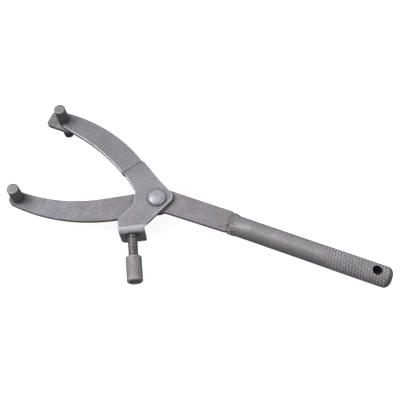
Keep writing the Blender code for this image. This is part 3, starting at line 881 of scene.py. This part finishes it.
# ---------------------------------------------------------------- fixed arm, bar and tang
FIXED_CORNERS = [  # x, y, fillet radius
    (TANG_END, TANG_WIDTH / 2, 2.0),
    (BAR_END, TANG_WIDTH / 2, 0),
    (BAR_END, BAR_TOP + 0.2, 1.8),
    (1.8, BAR_TOP - 0.4, 18.0),
    (-76.5, -36.5, 132.0),
    (-120.5, -35.0, 2.5),
    (-116.3, -48.8, 6.5),
    (-61.7, -52.5, 148.0),
    (7.6, BAR_LOW - 1.1, 18.0),
    (BAR_END, BAR_LOW + 0.5, 1.8),
    (BAR_END, -TANG_WIDTH / 2, 0),
    (TANG_END, -TANG_WIDTH / 2, 2.0),
]
RIVET_HOLE = RIVET_SHANK / 2 + GAP  # radius
FIXED_PIN_FOOT = PIN_LOW_DIAMETER / 2 - 1  # radius of the fixed pin inside the plate
SLIT_STEPS = 18


def weld_slit():
    """(x, y, half width) down the narrow slit left open in the bar's top face by the weld."""
    points = []
    for k in range(SLIT_STEPS + 1):
        y = -3.6 + 11.0 * k / SLIT_STEPS
        x = 61.75 - 0.10 * y + 0.35 * noise.noise(Vector((y * 0.9, 3.0, 0)))
        ragged = 1 + 0.5 * noise.noise(Vector((y * 1.7, 9.0, 0)))
        points.append((x, y, 0.12 + 0.26 * math.sin(math.pi * k / SLIT_STEPS) * ragged))
    return points


slit_points = weld_slit()


def make_fixed_arm():
    plate = sheared_plate(rounded(FIXED_CORNERS), -HALF_PLATE, HALF_PLATE)
    arm = piece(plate, "fixed_arm_plate")
    rivet_cut = piece(cylinder(RIVET_HOLE, -9, 9), "cut_a", at(*PIVOT))
    pin_cut = piece(cylinder(FIXED_PIN_FOOT + GAP, -9, 9), "cut_b", at(*FIXED_PIN))
    combine(arm, [rivet_cut, pin_cut])
    slit = [(x - half, y) for x, y, half in slit_points]
    slit += [(x + half, y) for x, y, half in reversed(slit_points)]
    slit_cut = prism([(x, y, 1.0) for x, y in slit], [(x, y, 3.0) for x, y in slit])
    combine(arm, [piece(slit_cut, "cut_gap")])
    finish_piece(arm, "bar_steel", "handle_bar", "fixed_arm")


make_fixed_arm()

# ---------------------------------------------------------------- moving arm
# A flat blank is drawn, then joggled and its lug folded down; last its holes are cut.
lug_out = Vector((screw_cos, screw_sin))
lug_side = Vector((-screw_sin, screw_cos))
bend_start = LUG_OUTER - BEND_INSIDE - PLATE
neutral = BEND_INSIDE + PLATE / 2
bend_length = neutral * math.pi / 2
bend_centre = ARM_LOW - BEND_INSIDE
blank_end = bend_start + bend_length + (bend_centre - LUG_BOTTOM)
lug_left = -SCREW_OFFSET + LUG_SHIFT - LUG_WIDTH / 2
lug_right = -SCREW_OFFSET + LUG_SHIFT + LUG_WIDTH / 2


def lug_corner(side, out, radius):
    point = lug_side * side + lug_out * out
    return (point.x, point.y, radius)


MOVING_CORNERS = [  # x, y, fillet radius
    (-107.8, 34.9, 2.0),
    (-114.5, 49.0, 1.2),
    (-68.1, 52.3, 138.0),
    (-5.2, 13.8, 6.5),
    (13.2, 4.6, 6.5),
    lug_corner(lug_right, bend_start + 3.0, 1.6),
    lug_corner(lug_right, blank_end, 1.7),
    lug_corner(lug_left, blank_end, 4.0),
    lug_corner(lug_left, 17.2, 3.5),
    (-16.4, -14.0, 7.0),
    (-19.8, -3.1, 6.0),
    (-52.4, 22.3, 165.0),
]


def inner_roll(point):
    """The arm's inner edge and the hub's +X side are dressed to a wider curve than the rest."""
    x, y = point
    out = point.dot(lug_out)
    if x > 1.0 and out < 20.0:
        return 1.0 + 0.7 * min(1.0, (x - 1.0) / 3.0, (20.0 - out) / 4.0)
    if not (-104.0 < x < -22.0 and y < 0.45 * -x + 6.0 - 0.0022 * (x + 20.0) ** 2):
        return 1.0
    return 1.0 + 0.75 * min(1.0, (x + 104.0) / 8.0, (-22.0 - x) / 8.0)


def press_joggle(vertex, along):
    """Lowers a vertex that lies this far along the joggle."""
    if along > joggle_length - 1e-6:
        vertex.co.z -= LIFT
        return
    middle = ARM_LOW + PLATE / 2
    off = vertex.co.z - middle
    if along < joggle_arc:
        tilt = math.asin(along / JOGGLE_RADIUS)
        drop = JOGGLE_RADIUS * (1 - math.cos(tilt))
    elif along < joggle_arc + joggle_ramp:
        tilt = JOGGLE_SLOPE
        drop = JOGGLE_RADIUS * (1 - math.cos(tilt)) + (along - joggle_arc) * math.tan(tilt)
    else:
        tilt = math.asin((joggle_length - along) / JOGGLE_RADIUS)
        drop = LIFT - JOGGLE_RADIUS * (1 - math.cos(tilt))
    shift = joggle_way * (off * math.sin(tilt))
    z = middle - drop + off * math.cos(tilt)
    vertex.co = Vector((vertex.co.x + shift.x, vertex.co.y + shift.y, z))


def fold_lug(vertex, flat, beyond):
    """Folds down a vertex that lies this far beyond the start of the bend."""
    turn = min(beyond / neutral, math.pi / 2)
    radius = vertex.co.z - bend_centre
    out = bend_start + radius * math.sin(turn)
    drop = max(0.0, beyond - bend_length)
    point = lug_side * flat.dot(lug_side) + lug_out * out
    vertex.co = Vector((point.x, point.y, bend_centre + radius * math.cos(turn) - drop))


def bent_blank():
    blank = sheared_plate(rounded(MOVING_CORNERS), ARM_LOW, ARM_LOW + PLATE, roll=inner_roll)
    marks = [JOGGLE_RADIUS * math.sin(JOGGLE_SLOPE * k / 8) for k in range(9)]
    marks += [joggle_length - mark for mark in reversed(marks)]
    slice_across(blank, joggle_way, [joggle_start + mark for mark in marks])
    slice_across(blank, lug_out, [bend_start + bend_length * k / 12 for k in range(13)])
    for vertex in blank.verts:
        flat = Vector((vertex.co.x, vertex.co.y))
        along = flat.dot(joggle_way) - joggle_start
        if along > 1e-6:
            press_joggle(vertex, along)
        beyond = flat.dot(lug_out) - bend_start
        if beyond > 1e-6:
            fold_lug(vertex, flat, beyond)
    return recalculate(blank)


def make_moving_arm():
    arm = piece(bent_blank(), "moving_arm_plate")
    thread = helix_rod(
        M8_MAJOR + 2 * THREAD_CLEARANCE,
        M8_MINOR + 2 * THREAD_CLEARANCE,
        M8_PITCH,
        start=LUG_OUTER - PLATE - 1.5,
        end=LUG_OUTER + 1.5,
        segments=32,
        lead=0.2,
    )
    tools = [
        piece(cylinder(RIVET_HOLE, 0, 12), "cut_c", at(*PIVOT)),
        piece(cylinder(PIN_LOW_DIAMETER / 2 + GAP, -9, 9), "cut_d", at(*MOVING_PIN)),
        piece(thread, "cut_e", SCREW_PLACE),
    ]
    combine(arm, tools)
    finish_piece(arm, "arm_steel", "swing_arm", "moving_arm")


make_moving_arm()


# ---------------------------------------------------------------- pins
def make_pin(name, xy, bottom, low_radius, chamfer, rise, body, node):
    """A stepped pin: its low part runs down to the bottom, its wider part above the plate."""
    step = HALF_PLATE + GAP
    radius = PIN_DIAMETER / 2
    top = HALF_PLATE + rise
    profile = [
        (0, bottom),
        (low_radius - chamfer, bottom),
        (low_radius - chamfer * 0.3, bottom + chamfer * 0.3),
        (low_radius, bottom + chamfer),
        (low_radius, step),
        (radius - 0.15, step),
        (radius, step + 0.15),
    ]
    z = step + 0.15
    while z + 2 < top - 0.7:
        z += 2
        profile.append((radius, z))
    profile += [
        (radius, top - 0.6),
        (radius - 0.12, top - 0.28),
        (radius - 0.32, top - 0.10),
        (radius - 0.6, top),
        (radius * 0.5, top),
        (0.6, top - 0.02),
        (0, top - 0.05),
    ]
    finish_piece(piece(lathe(profile, 72), name, at(*xy)), "pin_steel", body, node)


make_pin(
    "fixed_arm_peg",
    FIXED_PIN,
    bottom=-HALF_PLATE - 0.2,
    low_radius=FIXED_PIN_FOOT,
    chamfer=0.3,
    rise=FIXED_PIN_RISE,
    body="handle_bar",
    node="fixed_arm_pin",
)
make_pin(
    "moving_arm_peg",
    MOVING_PIN,
    bottom=MOVING_PIN_BOTTOM,
    low_radius=PIN_LOW_DIAMETER / 2,
    chamfer=1.2,
    rise=MOVING_PIN_RISE,
    body="swing_arm",
    node="moving_arm_pin",
)

# ---------------------------------------------------------------- tip plate
TIP_CORNERS = [  # x, y, fillet radius
    (-125.8, 47.8, 1.2),
    (-125.6, 33.9, 3.0),
    (-103.0, 33.9, 2.0),
    (-103.0, 47.8, 2.0),
]
TIP_CUT_SECTION = [(-0.62, 0.25), (0.62, 0.25), (0.0, -0.55)]  # x, z from the plate's top
TIP_CUT_START = -124.6
TIP_CUT_PITCH = 1.55
TIP_CUT_SPAN = (30.0, 51.0)  # y


def make_tip_plate():
    """The plate under the moving arm's end, with coarse V cuts across its top."""
    outline = rounded(TIP_CORNERS, straight=0.8)
    plate = sheared_plate(outline, UNDERSIDE - TIP_PLATE, UNDERSIDE, low_edge=0.4, high_edge=0.6)
    tip = piece(plate, "tip_plate_cut")
    tools = [piece(cylinder(PIN_LOW_DIAMETER / 2 + GAP, -20, 9), "cut_f", at(*MOVING_PIN))]
    for k in range(6):
        x = TIP_CUT_START + TIP_CUT_PITCH * k
        ends = [[(x + a, y, UNDERSIDE + b) for a, b in TIP_CUT_SECTION] for y in TIP_CUT_SPAN]
        tools.append(piece(prism(*ends), f"cut_groove_{k}"))
    combine(tip, tools)
    finish_piece(tip, "tip_steel", "swing_arm", "tip_plate")


make_tip_plate()

# ---------------------------------------------------------------- rivet and washer
dome_base = ARM_LOW + PLATE + GAP
washer_bottom = UNDERSIDE - WASHER_THICKNESS
tail_top = washer_bottom - GAP
tail_bottom = tail_top - TAIL_HEIGHT


def hammered(radius, angle, z):
    """Slightly uneven rim, as a peened head has."""
    if z < dome_base + 0.1 or radius < 0.5:
        return radius
    return radius * (1 - 0.008 - 0.012 * noise.noise(Vector(on_circle(radius, angle, z)) * 0.45))


def make_rivet():
    profile = [(0, tail_bottom), (TAIL_FLAT / 2, tail_bottom)]
    for degrees in (10, 20, 30, 42, 54, 66, 78, 90):
        t = math.radians(degrees)
        radius = TAIL_FLAT / 2 + (TAIL_DIAMETER - TAIL_FLAT) / 2 * math.sin(t)
        profile.append((radius, tail_top - TAIL_HEIGHT * math.cos(t)))
    profile += [
        (RIVET_SHANK / 2, tail_top),
        (RIVET_SHANK / 2, dome_base),
        (RIVET_HEAD / 2 - 0.15, dome_base),
    ]
    for degrees in range(0, 90, 5):
        t = math.radians(degrees)
        z = dome_base + 0.5 + (RIVET_DOME - 0.5) * math.sin(t)
        profile.append((RIVET_HEAD / 2 * math.cos(t), z))
    profile.append((0, dome_base + RIVET_DOME))
    rivet = piece(lathe(profile, 80, hammered), "rivet_dome", at(*PIVOT))
    finish_piece(rivet, "rivet_steel", "handle_bar", "pivot_rivet")


def make_washer():
    outer = WASHER_DIAMETER / 2
    segments = 72
    profile = [  # radius, z
        (RIVET_HOLE + 0.2, UNDERSIDE),
        (outer - 0.5, UNDERSIDE),
        (outer - 0.15, UNDERSIDE - 0.12),
        (outer, UNDERSIDE - 0.5),
        (outer, washer_bottom + 0.5),
        (outer - 0.15, washer_bottom + 0.12),
        (outer - 0.5, washer_bottom),
        (RIVET_HOLE + 0.2, washer_bottom),
        (RIVET_HOLE, washer_bottom + 0.2),
        (RIVET_HOLE, UNDERSIDE - 0.2),
    ]
    angles = [2 * math.pi * k / segments for k in range(segments)]
    rows = [[on_circle(radius, angle, z) for angle in angles] for radius, z in profile]
    washer = piece(loft(rows, ring=True), "pivot_washer", at(*PIVOT))
    finish_piece(washer, "washer_steel", "handle_bar", "rear_washer")


make_rivet()
make_washer()

# ---------------------------------------------------------------- handle tube
ROWS = 30  # ridges along the grip, counted around the tube
CUT_PITCH = 2.33  # spacing of the cuts across them
CUT_STARTS = 4
KNURL_DEPTH = 0.60
ENTRY_LENGTH = 14.0  # over which the grip reaches its full width and depth
AROUND = ROWS * 8


def mouth(x):
    """Width and height of the tube, which is squeezed flatter at its mouth."""
    t = min(1.0, max(0.0, (x - TUBE_START) / MOUTH_LENGTH))
    blend = 1 - t * t * (3 - 2 * t)
    width = TUBE_OD + (MOUTH_WIDTH - TUBE_OD) * blend
    return width, TUBE_OD + (MOUTH_HEIGHT - TUBE_OD) * blend


def knurl(x, angle):
    """Depth of the knurl below the grip's surface."""
    around = Vector((x * 0.09, math.cos(angle) * 1.2, math.sin(angle) * 1.2))
    worn = noise.noise(around)
    entry = min(1.0, max(0.0, (x - KNURL_START + 1.0) / ENTRY_LENGTH)) ** 0.8
    fade = min(1.0, max(0.0, (TUBE_END - END_DOME + 2.8 - x) / 2.5))
    row = ridge(ROWS * angle / (2 * math.pi) + 0.25, 0.30)
    cut = ridge(x / CUT_PITCH - CUT_STARTS * angle / (2 * math.pi), 0.42)
    top = row * (0.25 + 0.75 * cut)
    return KNURL_DEPTH * (1 - top) * (0.85 + 0.3 * worn) * entry * fade


def tube_depth(x, y, z, angle):
    """Depth of the outer surface below its section: knurled, slightly uneven or true."""
    if x >= KNURL_START - 1.0:
        return knurl(x, angle)
    if x > TUBE_START + 0.5:
        return 0.05 + 0.05 * noise.noise(Vector((x * 0.12, y * 0.16, z * 0.16)))
    return 0.0


def outer_sections():
    """(x, width, height) from the mouth to the domed end."""
    sections = []
    x = TUBE_START
    while x < TUBE_START + MOUTH_LENGTH - 0.01:
        sections.append((x, *mouth(x)))
        x += MOUTH_LENGTH / 14
    while x < KNURL_START - 1.5:
        sections.append((x, TUBE_OD, TUBE_OD))
        x += 2.6
    x = KNURL_START - 1.4
    while x < TUBE_END - END_DOME - 0.05:
        share = min(1.0, max(0.0, (x - KNURL_START) / ENTRY_LENGTH))
        size = TUBE_OD + (GRIP_OD - TUBE_OD) * share
        sections.append((x, size, size))
        x += CUT_PITCH / 7
    for degrees in range(0, 82, 4):
        t = math.radians(degrees)
        radius = END_HOLE / 2 + 0.4 + (GRIP_OD / 2 - END_HOLE / 2 - 0.4) * math.cos(t)
        sections.append((TUBE_END - END_DOME + END_DOME * math.sin(t), 2 * radius, 2 * radius))
    sections.append((TUBE_END - 0.06, END_HOLE + 0.7, END_HOLE + 0.7))
    sections.append((TUBE_END, END_HOLE + 0.3, END_HOLE + 0.3))
    return sections


def inner_sections():
    """(x, width, height) of the bore from the mouth to the end hole."""
    sections = []
    for k in range(9):
        x = TUBE_START + MOUTH_LENGTH * k / 8
        width, height = mouth(x)
        sections.append((x, width - 2 * TUBE_WALL, height - 2 * TUBE_WALL))
    for degrees in (0, 12, 24, 36, 48, 60, 70):
        t = math.radians(degrees)
        radius = END_HOLE / 2 + (TUBE_OD / 2 - TUBE_WALL - END_HOLE / 2) * math.cos(t)
        x = TUBE_END - END_DOME + (END_DOME - TUBE_WALL) * math.sin(t)
        sections.append((x, 2 * radius, 2 * radius))
    sections.append((TUBE_END - TUBE_WALL, END_HOLE, END_HOLE))
    return sections


def tube_row(x, width, height, outside):
    row = []
    for k in range(AROUND):
        angle = 2 * math.pi * k / AROUND
        y, z = width / 2 * math.cos(angle), height / 2 * math.sin(angle)
        if outside:
            reach = math.hypot(y, z)
            depth = tube_depth(x, y, z, angle)
            y, z = y * (reach - depth) / reach, z * (reach - depth) / reach
        row.append((x, y, z))
    return row


def make_tube():
    rows = [tube_row(*section, outside=True) for section in outer_sections()]
    rows += [tube_row(*section, outside=False) for section in inner_sections()[::-1]]
    tube = piece(loft(rows, ring=True), "knurled_tube")
    place = at(HANG_X, 0)
    top_hole = piece(cylinder(HANG_HOLE / 2, 0, 20, 56), "cut_hang", place)
    low_hole = piece(cylinder(HANG_HOLE_LOW / 2, -20, 0, 56), "cut_hang_rear", place)
    combine(tube, [top_hole, low_hole])
    finish_piece(tube, "tube_steel", "handle_bar", "handle_tube", angle=60)


make_tube()

# ---------------------------------------------------------------- weld between bar and tube
BEAD_START = BAR_END + GAP
BEAD_END = TUBE_START + 2.4
BEAD_WIDTH = 19.6  # at its start
BEAD_HEIGHT = 7.0
BEAD_STEPS = 40
BEAD_AROUND = 132
TOE_X = (57.2, 63.6)
TOE_Y = (-7.7, 9.5)
TOE_STEPS = (30, 64)
TOE_SINK = 0.25  # how far the toe's zero level lies under the bar's face


def bead_row(x):
    t = min(1.0, (x - BEAD_START) / (TUBE_START - GAP - BEAD_START))
    beyond = max(0.0, (x - TUBE_START) / (BEAD_END - TUBE_START))
    swell = 0.5 * math.sin(math.pi * t)
    width = BEAD_WIDTH + (MOUTH_WIDTH + 0.5 - BEAD_WIDTH) * t + swell
    growth = math.sin(t * math.pi / 2)
    height = BEAD_HEIGHT + (MOUTH_HEIGHT + 0.3 - BEAD_HEIGHT) * growth + swell
    share, least = 0.35 + 0.65 * math.sin(math.pi * t), 0.0
    if x > TUBE_START:
        mouth_width, mouth_height = mouth(x)
        width = mouth_width + 0.5 - 1.1 * beyond
        height = mouth_height + 0.3 - 0.9 * beyond
    if x >= TUBE_START:
        share, least = 0.35, -0.25
    shift = 0.6 * (1 - t)
    power = 0.72 + 0.28 * t
    row = []
    for j in range(BEAD_AROUND):
        angle = 2 * math.pi * j / BEAD_AROUND
        cos, sin = math.cos(angle), math.sin(angle)
        y = width / 2 * math.copysign(abs(cos) ** power, cos)
        z = height / 2 * math.copysign(abs(sin) ** power, sin)
        # Overlapping ripples of the bead plus coarse lumps and fine spatter marks
        ripple = 0.5 + 0.5 * math.sin(j * 2 * math.pi / 8.25 + 2.4 * t)
        lump = noise.noise(Vector((x * 0.62, y * 0.42, z * 0.42)))
        speck = noise.noise(Vector((x * 1.7, y * 1.3, z * 1.3)))
        deep = max(least, (0.24 * ripple + 0.36 + 0.95 * lump + 0.36 * speck) * share)
        reach = math.hypot(y, z)
        row.append((x, shift + y * (reach - deep) / reach, z * (reach - deep) / reach))
    return row


def toe_height(x, y, top):
    """Height of the toe above its zero level."""
    seed = 0.0 if top else 17.0
    start = 60.6 + 1.5 * noise.noise(Vector((y * 0.30, seed, 1.0)))
    start += 0.8 * noise.noise(Vector((y * 0.9, seed, 4.0)))
    rise = max(0.0, min(1.0, (x - start) / 1.9))
    lump = noise.noise(Vector((x * 0.75, y * 0.55, seed)))
    speck = noise.noise(Vector((x * 1.9, y * 1.6, seed + 5.0)))
    clear = 1.0  # falls to 0 over the slit
    for slit_x, slit_y, half in slit_points:
        if top and abs(y - slit_y) < 0.7:
            clear = min(clear, max(0.0, min(1.0, (abs(x - slit_x) - half) / 0.5)))
    tall = rise * (0.95 + 0.45 * lump + 0.2 * speck) * clear
    tall += 0.42 * max(0.0, lump + 0.45 * speck - 0.18) * clear
    side = min(1.0, (y - TOE_Y[0]) / 1.2, (TOE_Y[1] - y) / 1.2, (x - TOE_X[0]) / 0.8)
    return (0.2 + max(0.0, tall)) * max(0.0, side) ** 0.7


def weld_toe(top, name):
    """Ragged run-out of the bead over the bar's top or bottom face, sunk a little into it."""
    shape = bmesh.new()
    count_x, count_y = TOE_STEPS
    base_z = HALF_PLATE - TOE_SINK
    sign = 1 if top else -1
    skin, back = [], []
    for i in range(count_x + 1):
        x = TOE_X[0] + (TOE_X[1] - TOE_X[0]) * i / count_x
        skin.append([])
        back.append([])
        for j in range(count_y + 1):
            y = TOE_Y[0] + (TOE_Y[1] - TOE_Y[0]) * j / count_y
            z = base_z + 0.02 + toe_height(x, y, top)
            skin[i].append(shape.verts.new((x, y, sign * z)))
            back[i].append(shape.verts.new((x, y, sign * (base_z - 0.2))))
    for rows in (skin, back):
        for low, high in zip(rows, rows[1:]):
            for j in range(count_y):
                shape.faces.new((low[j], high[j], high[j + 1], low[j + 1]))
    for i in range(count_x):
        for j in (0, count_y):
            shape.faces.new((skin[i][j], skin[i + 1][j], back[i + 1][j], back[i][j]))
    for j in range(count_y):
        for i in (0, count_x):
            shape.faces.new((skin[i][j], skin[i][j + 1], back[i][j + 1], back[i][j]))
    return piece(recalculate(shape), name)


def make_weld():
    """The bead from the bar's shoulder up on to the tube, slotted for the tang, and its toes."""
    length = BEAD_END - BEAD_START
    rows = [bead_row(BEAD_START + length * k / BEAD_STEPS) for k in range(BEAD_STEPS + 1)]
    weld = piece(loft(rows), "weld_bead")
    half_y, half_z = TANG_WIDTH / 2 + GAP, HALF_PLATE + GAP
    corners = [(half_y, half_z), (-half_y, half_z), (-half_y, -half_z), (half_y, -half_z)]
    slot = [[(x, y, z) for y, z in corners] for x in (BAR_END - 5, TUBE_START + 5)]
    combine(weld, [piece(loft(slot), "cut_slot")])
    combine(weld, [weld_toe(True, "toe_front"), weld_toe(False, "toe_rear")], "UNION")
    finish_piece(weld, "weld_steel", "handle_bar", "tube_weld", angle=70)


make_weld()

# ---------------------------------------------------------------- thumb screw
PAD_END = PAD_START + PAD_LENGTH
KNOB_TEETH = 22
KNOB_TURNS = 0.30  # how far a groove winds round the knob over its length, in turns
KNOB_STEPS = 84
knob_radius = KNOB_DIAMETER / 2


def make_stud():
    start = PAD_END + GAP
    end = KNOB_START + KNOB_BORE_DEPTH - GAP
    rod = helix_rod(M8_MAJOR, M8_MINOR, M8_PITCH, start, end, segments=40)
    stud = piece(rod, "threaded_stud", SCREW_PLACE)
    nose = cylinder(NOSE_DIAMETER / 2, PAD_END - PAD_SOCKET + GAP, start + 2.0, 40)
    combine(stud, [piece(nose, "add_nose", SCREW_PLACE)], "UNION")
    finish_piece(stud, "stud_steel", "thumb_screw", "screw_stud", angle=28)


def make_pad():
    """The round-nosed pad on the screw's inner end, with a socket for the stud's nose."""
    radius = PAD_DIAMETER / 2
    socket = NOSE_DIAMETER / 2 + GAP
    profile = []
    for degrees in range(0, 91, 9):
        t = math.radians(degrees)
        profile.append((radius * math.sin(t), PAD_START + radius * (1 - math.cos(t))))
    profile += [
        (radius, PAD_END - 0.3),
        (radius - 0.3, PAD_END),
        (socket, PAD_END),
        (socket, PAD_END - PAD_SOCKET),
        (0, PAD_END - PAD_SOCKET),
    ]
    pad = piece(lathe(profile, 48), "swivel_pad", SCREW_PLACE)
    finish_piece(pad, "pad_steel", "thrust_pad", "screw_pad")


def diamond(radius, angle, z):
    """Crossed grooves round the knob's side."""
    if radius < knob_radius - 0.01 or z < KNOB_START + 0.8 or z > KNOB_END - 0.95:
        return radius
    around = angle / (2 * math.pi)
    lean = KNOB_TURNS * ((z - KNOB_START) / KNOB_LENGTH)
    top = min(ridge(KNOB_TEETH * (around + lean), 0.2), ridge(KNOB_TEETH * (around - lean), 0.2))
    edge = min(1.0, (z - KNOB_START - 0.8) / 0.6, (KNOB_END - 0.95 - z) / 0.5)
    return radius - 0.34 * (1 - top) * max(0.0, edge)


def make_knob():
    bore = M8_MAJOR / 2 + GAP
    profile = [
        (0, KNOB_START + KNOB_BORE_DEPTH),
        (bore, KNOB_START + KNOB_BORE_DEPTH),
        (bore, KNOB_START + 0.3),
        (bore + 0.3, KNOB_START),
        (knob_radius - 0.98, KNOB_START),
        (knob_radius - 0.82, KNOB_START + 0.1),
        (knob_radius - 0.45, KNOB_START + 0.47),
        (knob_radius - 0.1, KNOB_START + 0.84),
    ]
    for k in range(1, KNOB_STEPS):
        z = KNOB_START + 0.85 + (KNOB_LENGTH - 1.7) * k / KNOB_STEPS
        profile.append((knob_radius, z))
    profile += [
        (knob_radius - 0.1, KNOB_END - 0.85),
        (knob_radius - 0.45, KNOB_END - 0.47),
        (knob_radius - 0.82, KNOB_END - 0.1),
        (knob_radius - 0.98, KNOB_END),
        (4.5, KNOB_END),
        (4.3, KNOB_END - 0.12),
        (4.1, KNOB_END - 1.25),
        (3.8, KNOB_END - 1.5),
        (1.2, KNOB_END - 1.5),
        (0.5, KNOB_END - 1.3),
        (0, KNOB_END - 1.25),
    ]
    knob = piece(lathe(profile, KNOB_TEETH * 8, diamond), "knurled_knob", SCREW_PLACE)
    finish_piece(knob, "knob_steel", "thumb_screw", "screw_knob", angle=60)


make_stud()
make_pad()
make_knob()

# ---------------------------------------------------------------- floor, in metres from here on
FLOOR_SIZE = 3.0
FLOOR_GAP = 0.0004  # under the lowest piece
FLOOR_BOUNCE = (0.18, 0.18, 0.19)  # colour for all but camera rays
FLOOR_GLOW = 0.80  # emission seen by the camera


def floor_material():
    material, net, shader = new_material("pale_floor")
    where = net.node("ShaderNodeTexCoord").outputs["Object"]
    cloud = net.noise(where, 2.2, detail=3.0, roughness=0.5)
    seen = net.camera_ray()
    tone = net.grey(net.ramp(cloud, 0.3, 0.7, 0.50, 0.53))
    net.feed(shader.inputs["Base Color"], net.mix(seen, FLOOR_BOUNCE, tone))
    shader.inputs["Emission Color"].default_value = (1.0, 1.0, 1.0, 1.0)
    net.feed(shader.inputs["Emission Strength"], net.math("MULTIPLY", seen, FLOOR_GLOW))
    shader.inputs["Roughness"].default_value = 0.9
    shader.inputs["Specular IOR Level"].default_value = 0.1
    # From below the floor is clear, so that the underside can be looked at.
    below = net.node("ShaderNodeNewGeometry").outputs["Backfacing"]
    clear = net.node("ShaderNodeBsdfTransparent").outputs[0]
    either = net.node("ShaderNodeMixShader", {0: below, 1: shader.outputs[0], 2: clear})
    output = next(node for node in net.tree.nodes if node.type == "OUTPUT_MATERIAL")
    net.feed(output.inputs["Surface"], either.outputs[0])
    return material


def make_floor(height):
    material = floor_material()
    shape = bmesh.new()
    bmesh.ops.create_grid(shape, x_segments=24, y_segments=24, size=FLOOR_SIZE)
    mesh = bpy.data.meshes.new("studio_floor")
    shape.to_mesh(mesh)
    shape.free()
    mesh.materials.append(material)
    floor = bpy.data.objects.new("studio_floor", mesh)
    floor.location.z = height
    bpy.context.scene.collection.objects.link(floor)
    return floor


lowest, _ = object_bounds()
make_floor(lowest.z - FLOOR_GAP)


# ---------------------------------------------------------------- lights
def soft_sun(name, towards, power, spread):
    """A wide, distant light: even over the whole object, with soft shadows."""
    data = bpy.data.lights.new(name, "SUN")
    data.energy = power
    data.angle = math.radians(spread)
    sun = bpy.data.objects.new(name, data)
    sun.rotation_mode = "QUATERNION"
    sun.rotation_quaternion = Vector(towards).to_track_quat("Z", "Y")
    sun.location = Vector(towards).normalized() * 1.2
    bpy.context.scene.collection.objects.link(sun)


DOME_POWER = 0.80
DOME_LEVEL = 0.48  # at the horizon to either side
DOME_LEAST = 0.12
DOME_UP = 0.55  # gain towards +Z
DOME_BEHIND = 0.42  # gain towards +Y


def make_world():
    """A dome brightest overhead and towards +Y, dark low down towards -Y."""
    world = bpy.data.worlds.new("studio")
    bpy.context.scene.world = world
    world.use_nodes = True
    net = Nodes(world.node_tree)
    background = net.tree.nodes["Background"]
    background.inputs["Color"].default_value = (1.0, 1.0, 1.0, 1.0)
    way = net.separate(net.node("ShaderNodeTexCoord").outputs["Generated"])
    rise = net.math("MULTIPLY", way["Z"], DOME_UP)
    depth = net.math("MULTIPLY", way["Y"], DOME_BEHIND)
    level = net.math("ADD", net.math("ADD", rise, depth), DOME_LEVEL)
    level = net.math("MULTIPLY", net.math("MAXIMUM", level, DOME_LEAST), DOME_POWER)
    inputs = {0: net.camera_ray(), 2: level, 3: 1.0}  # the camera sees plain white
    strength = net.node("ShaderNodeMix", inputs, data_type="FLOAT")
    net.feed(background.inputs["Strength"], strength.outputs[0])


soft_sun("soft_key", towards=(-0.52, -0.10, 0.83), power=2.0, spread=30)
make_world()

# ---------------------------------------------------------------- camera
CAMERA_AT = Vector((0.14316886, -0.20342409, 0.48421049))
CAMERA_RIGHT = Vector((0.92610036, 0.37457911, -0.04504024)).normalized()
CAMERA_UP = Vector((-0.31529509, 0.833979, 0.45284438)).normalized()


def make_camera():
    data = bpy.data.cameras.new("camera")
    data.sensor_width = 36.0
    data.lens = 58.5
    data.clip_start = 0.01
    data.clip_end = 20.0
    camera = bpy.data.objects.new("camera", data)
    back = CAMERA_RIGHT.cross(CAMERA_UP)
    camera.matrix_world = axes_matrix(CAMERA_RIGHT, CAMERA_UP, back, CAMERA_AT)
    bpy.context.scene.collection.objects.link(camera)
    bpy.context.scene.camera = camera


make_camera()
bpy.context.scene.view_settings.view_transform = "Standard"
bpy.context.scene.view_settings.look = "None"
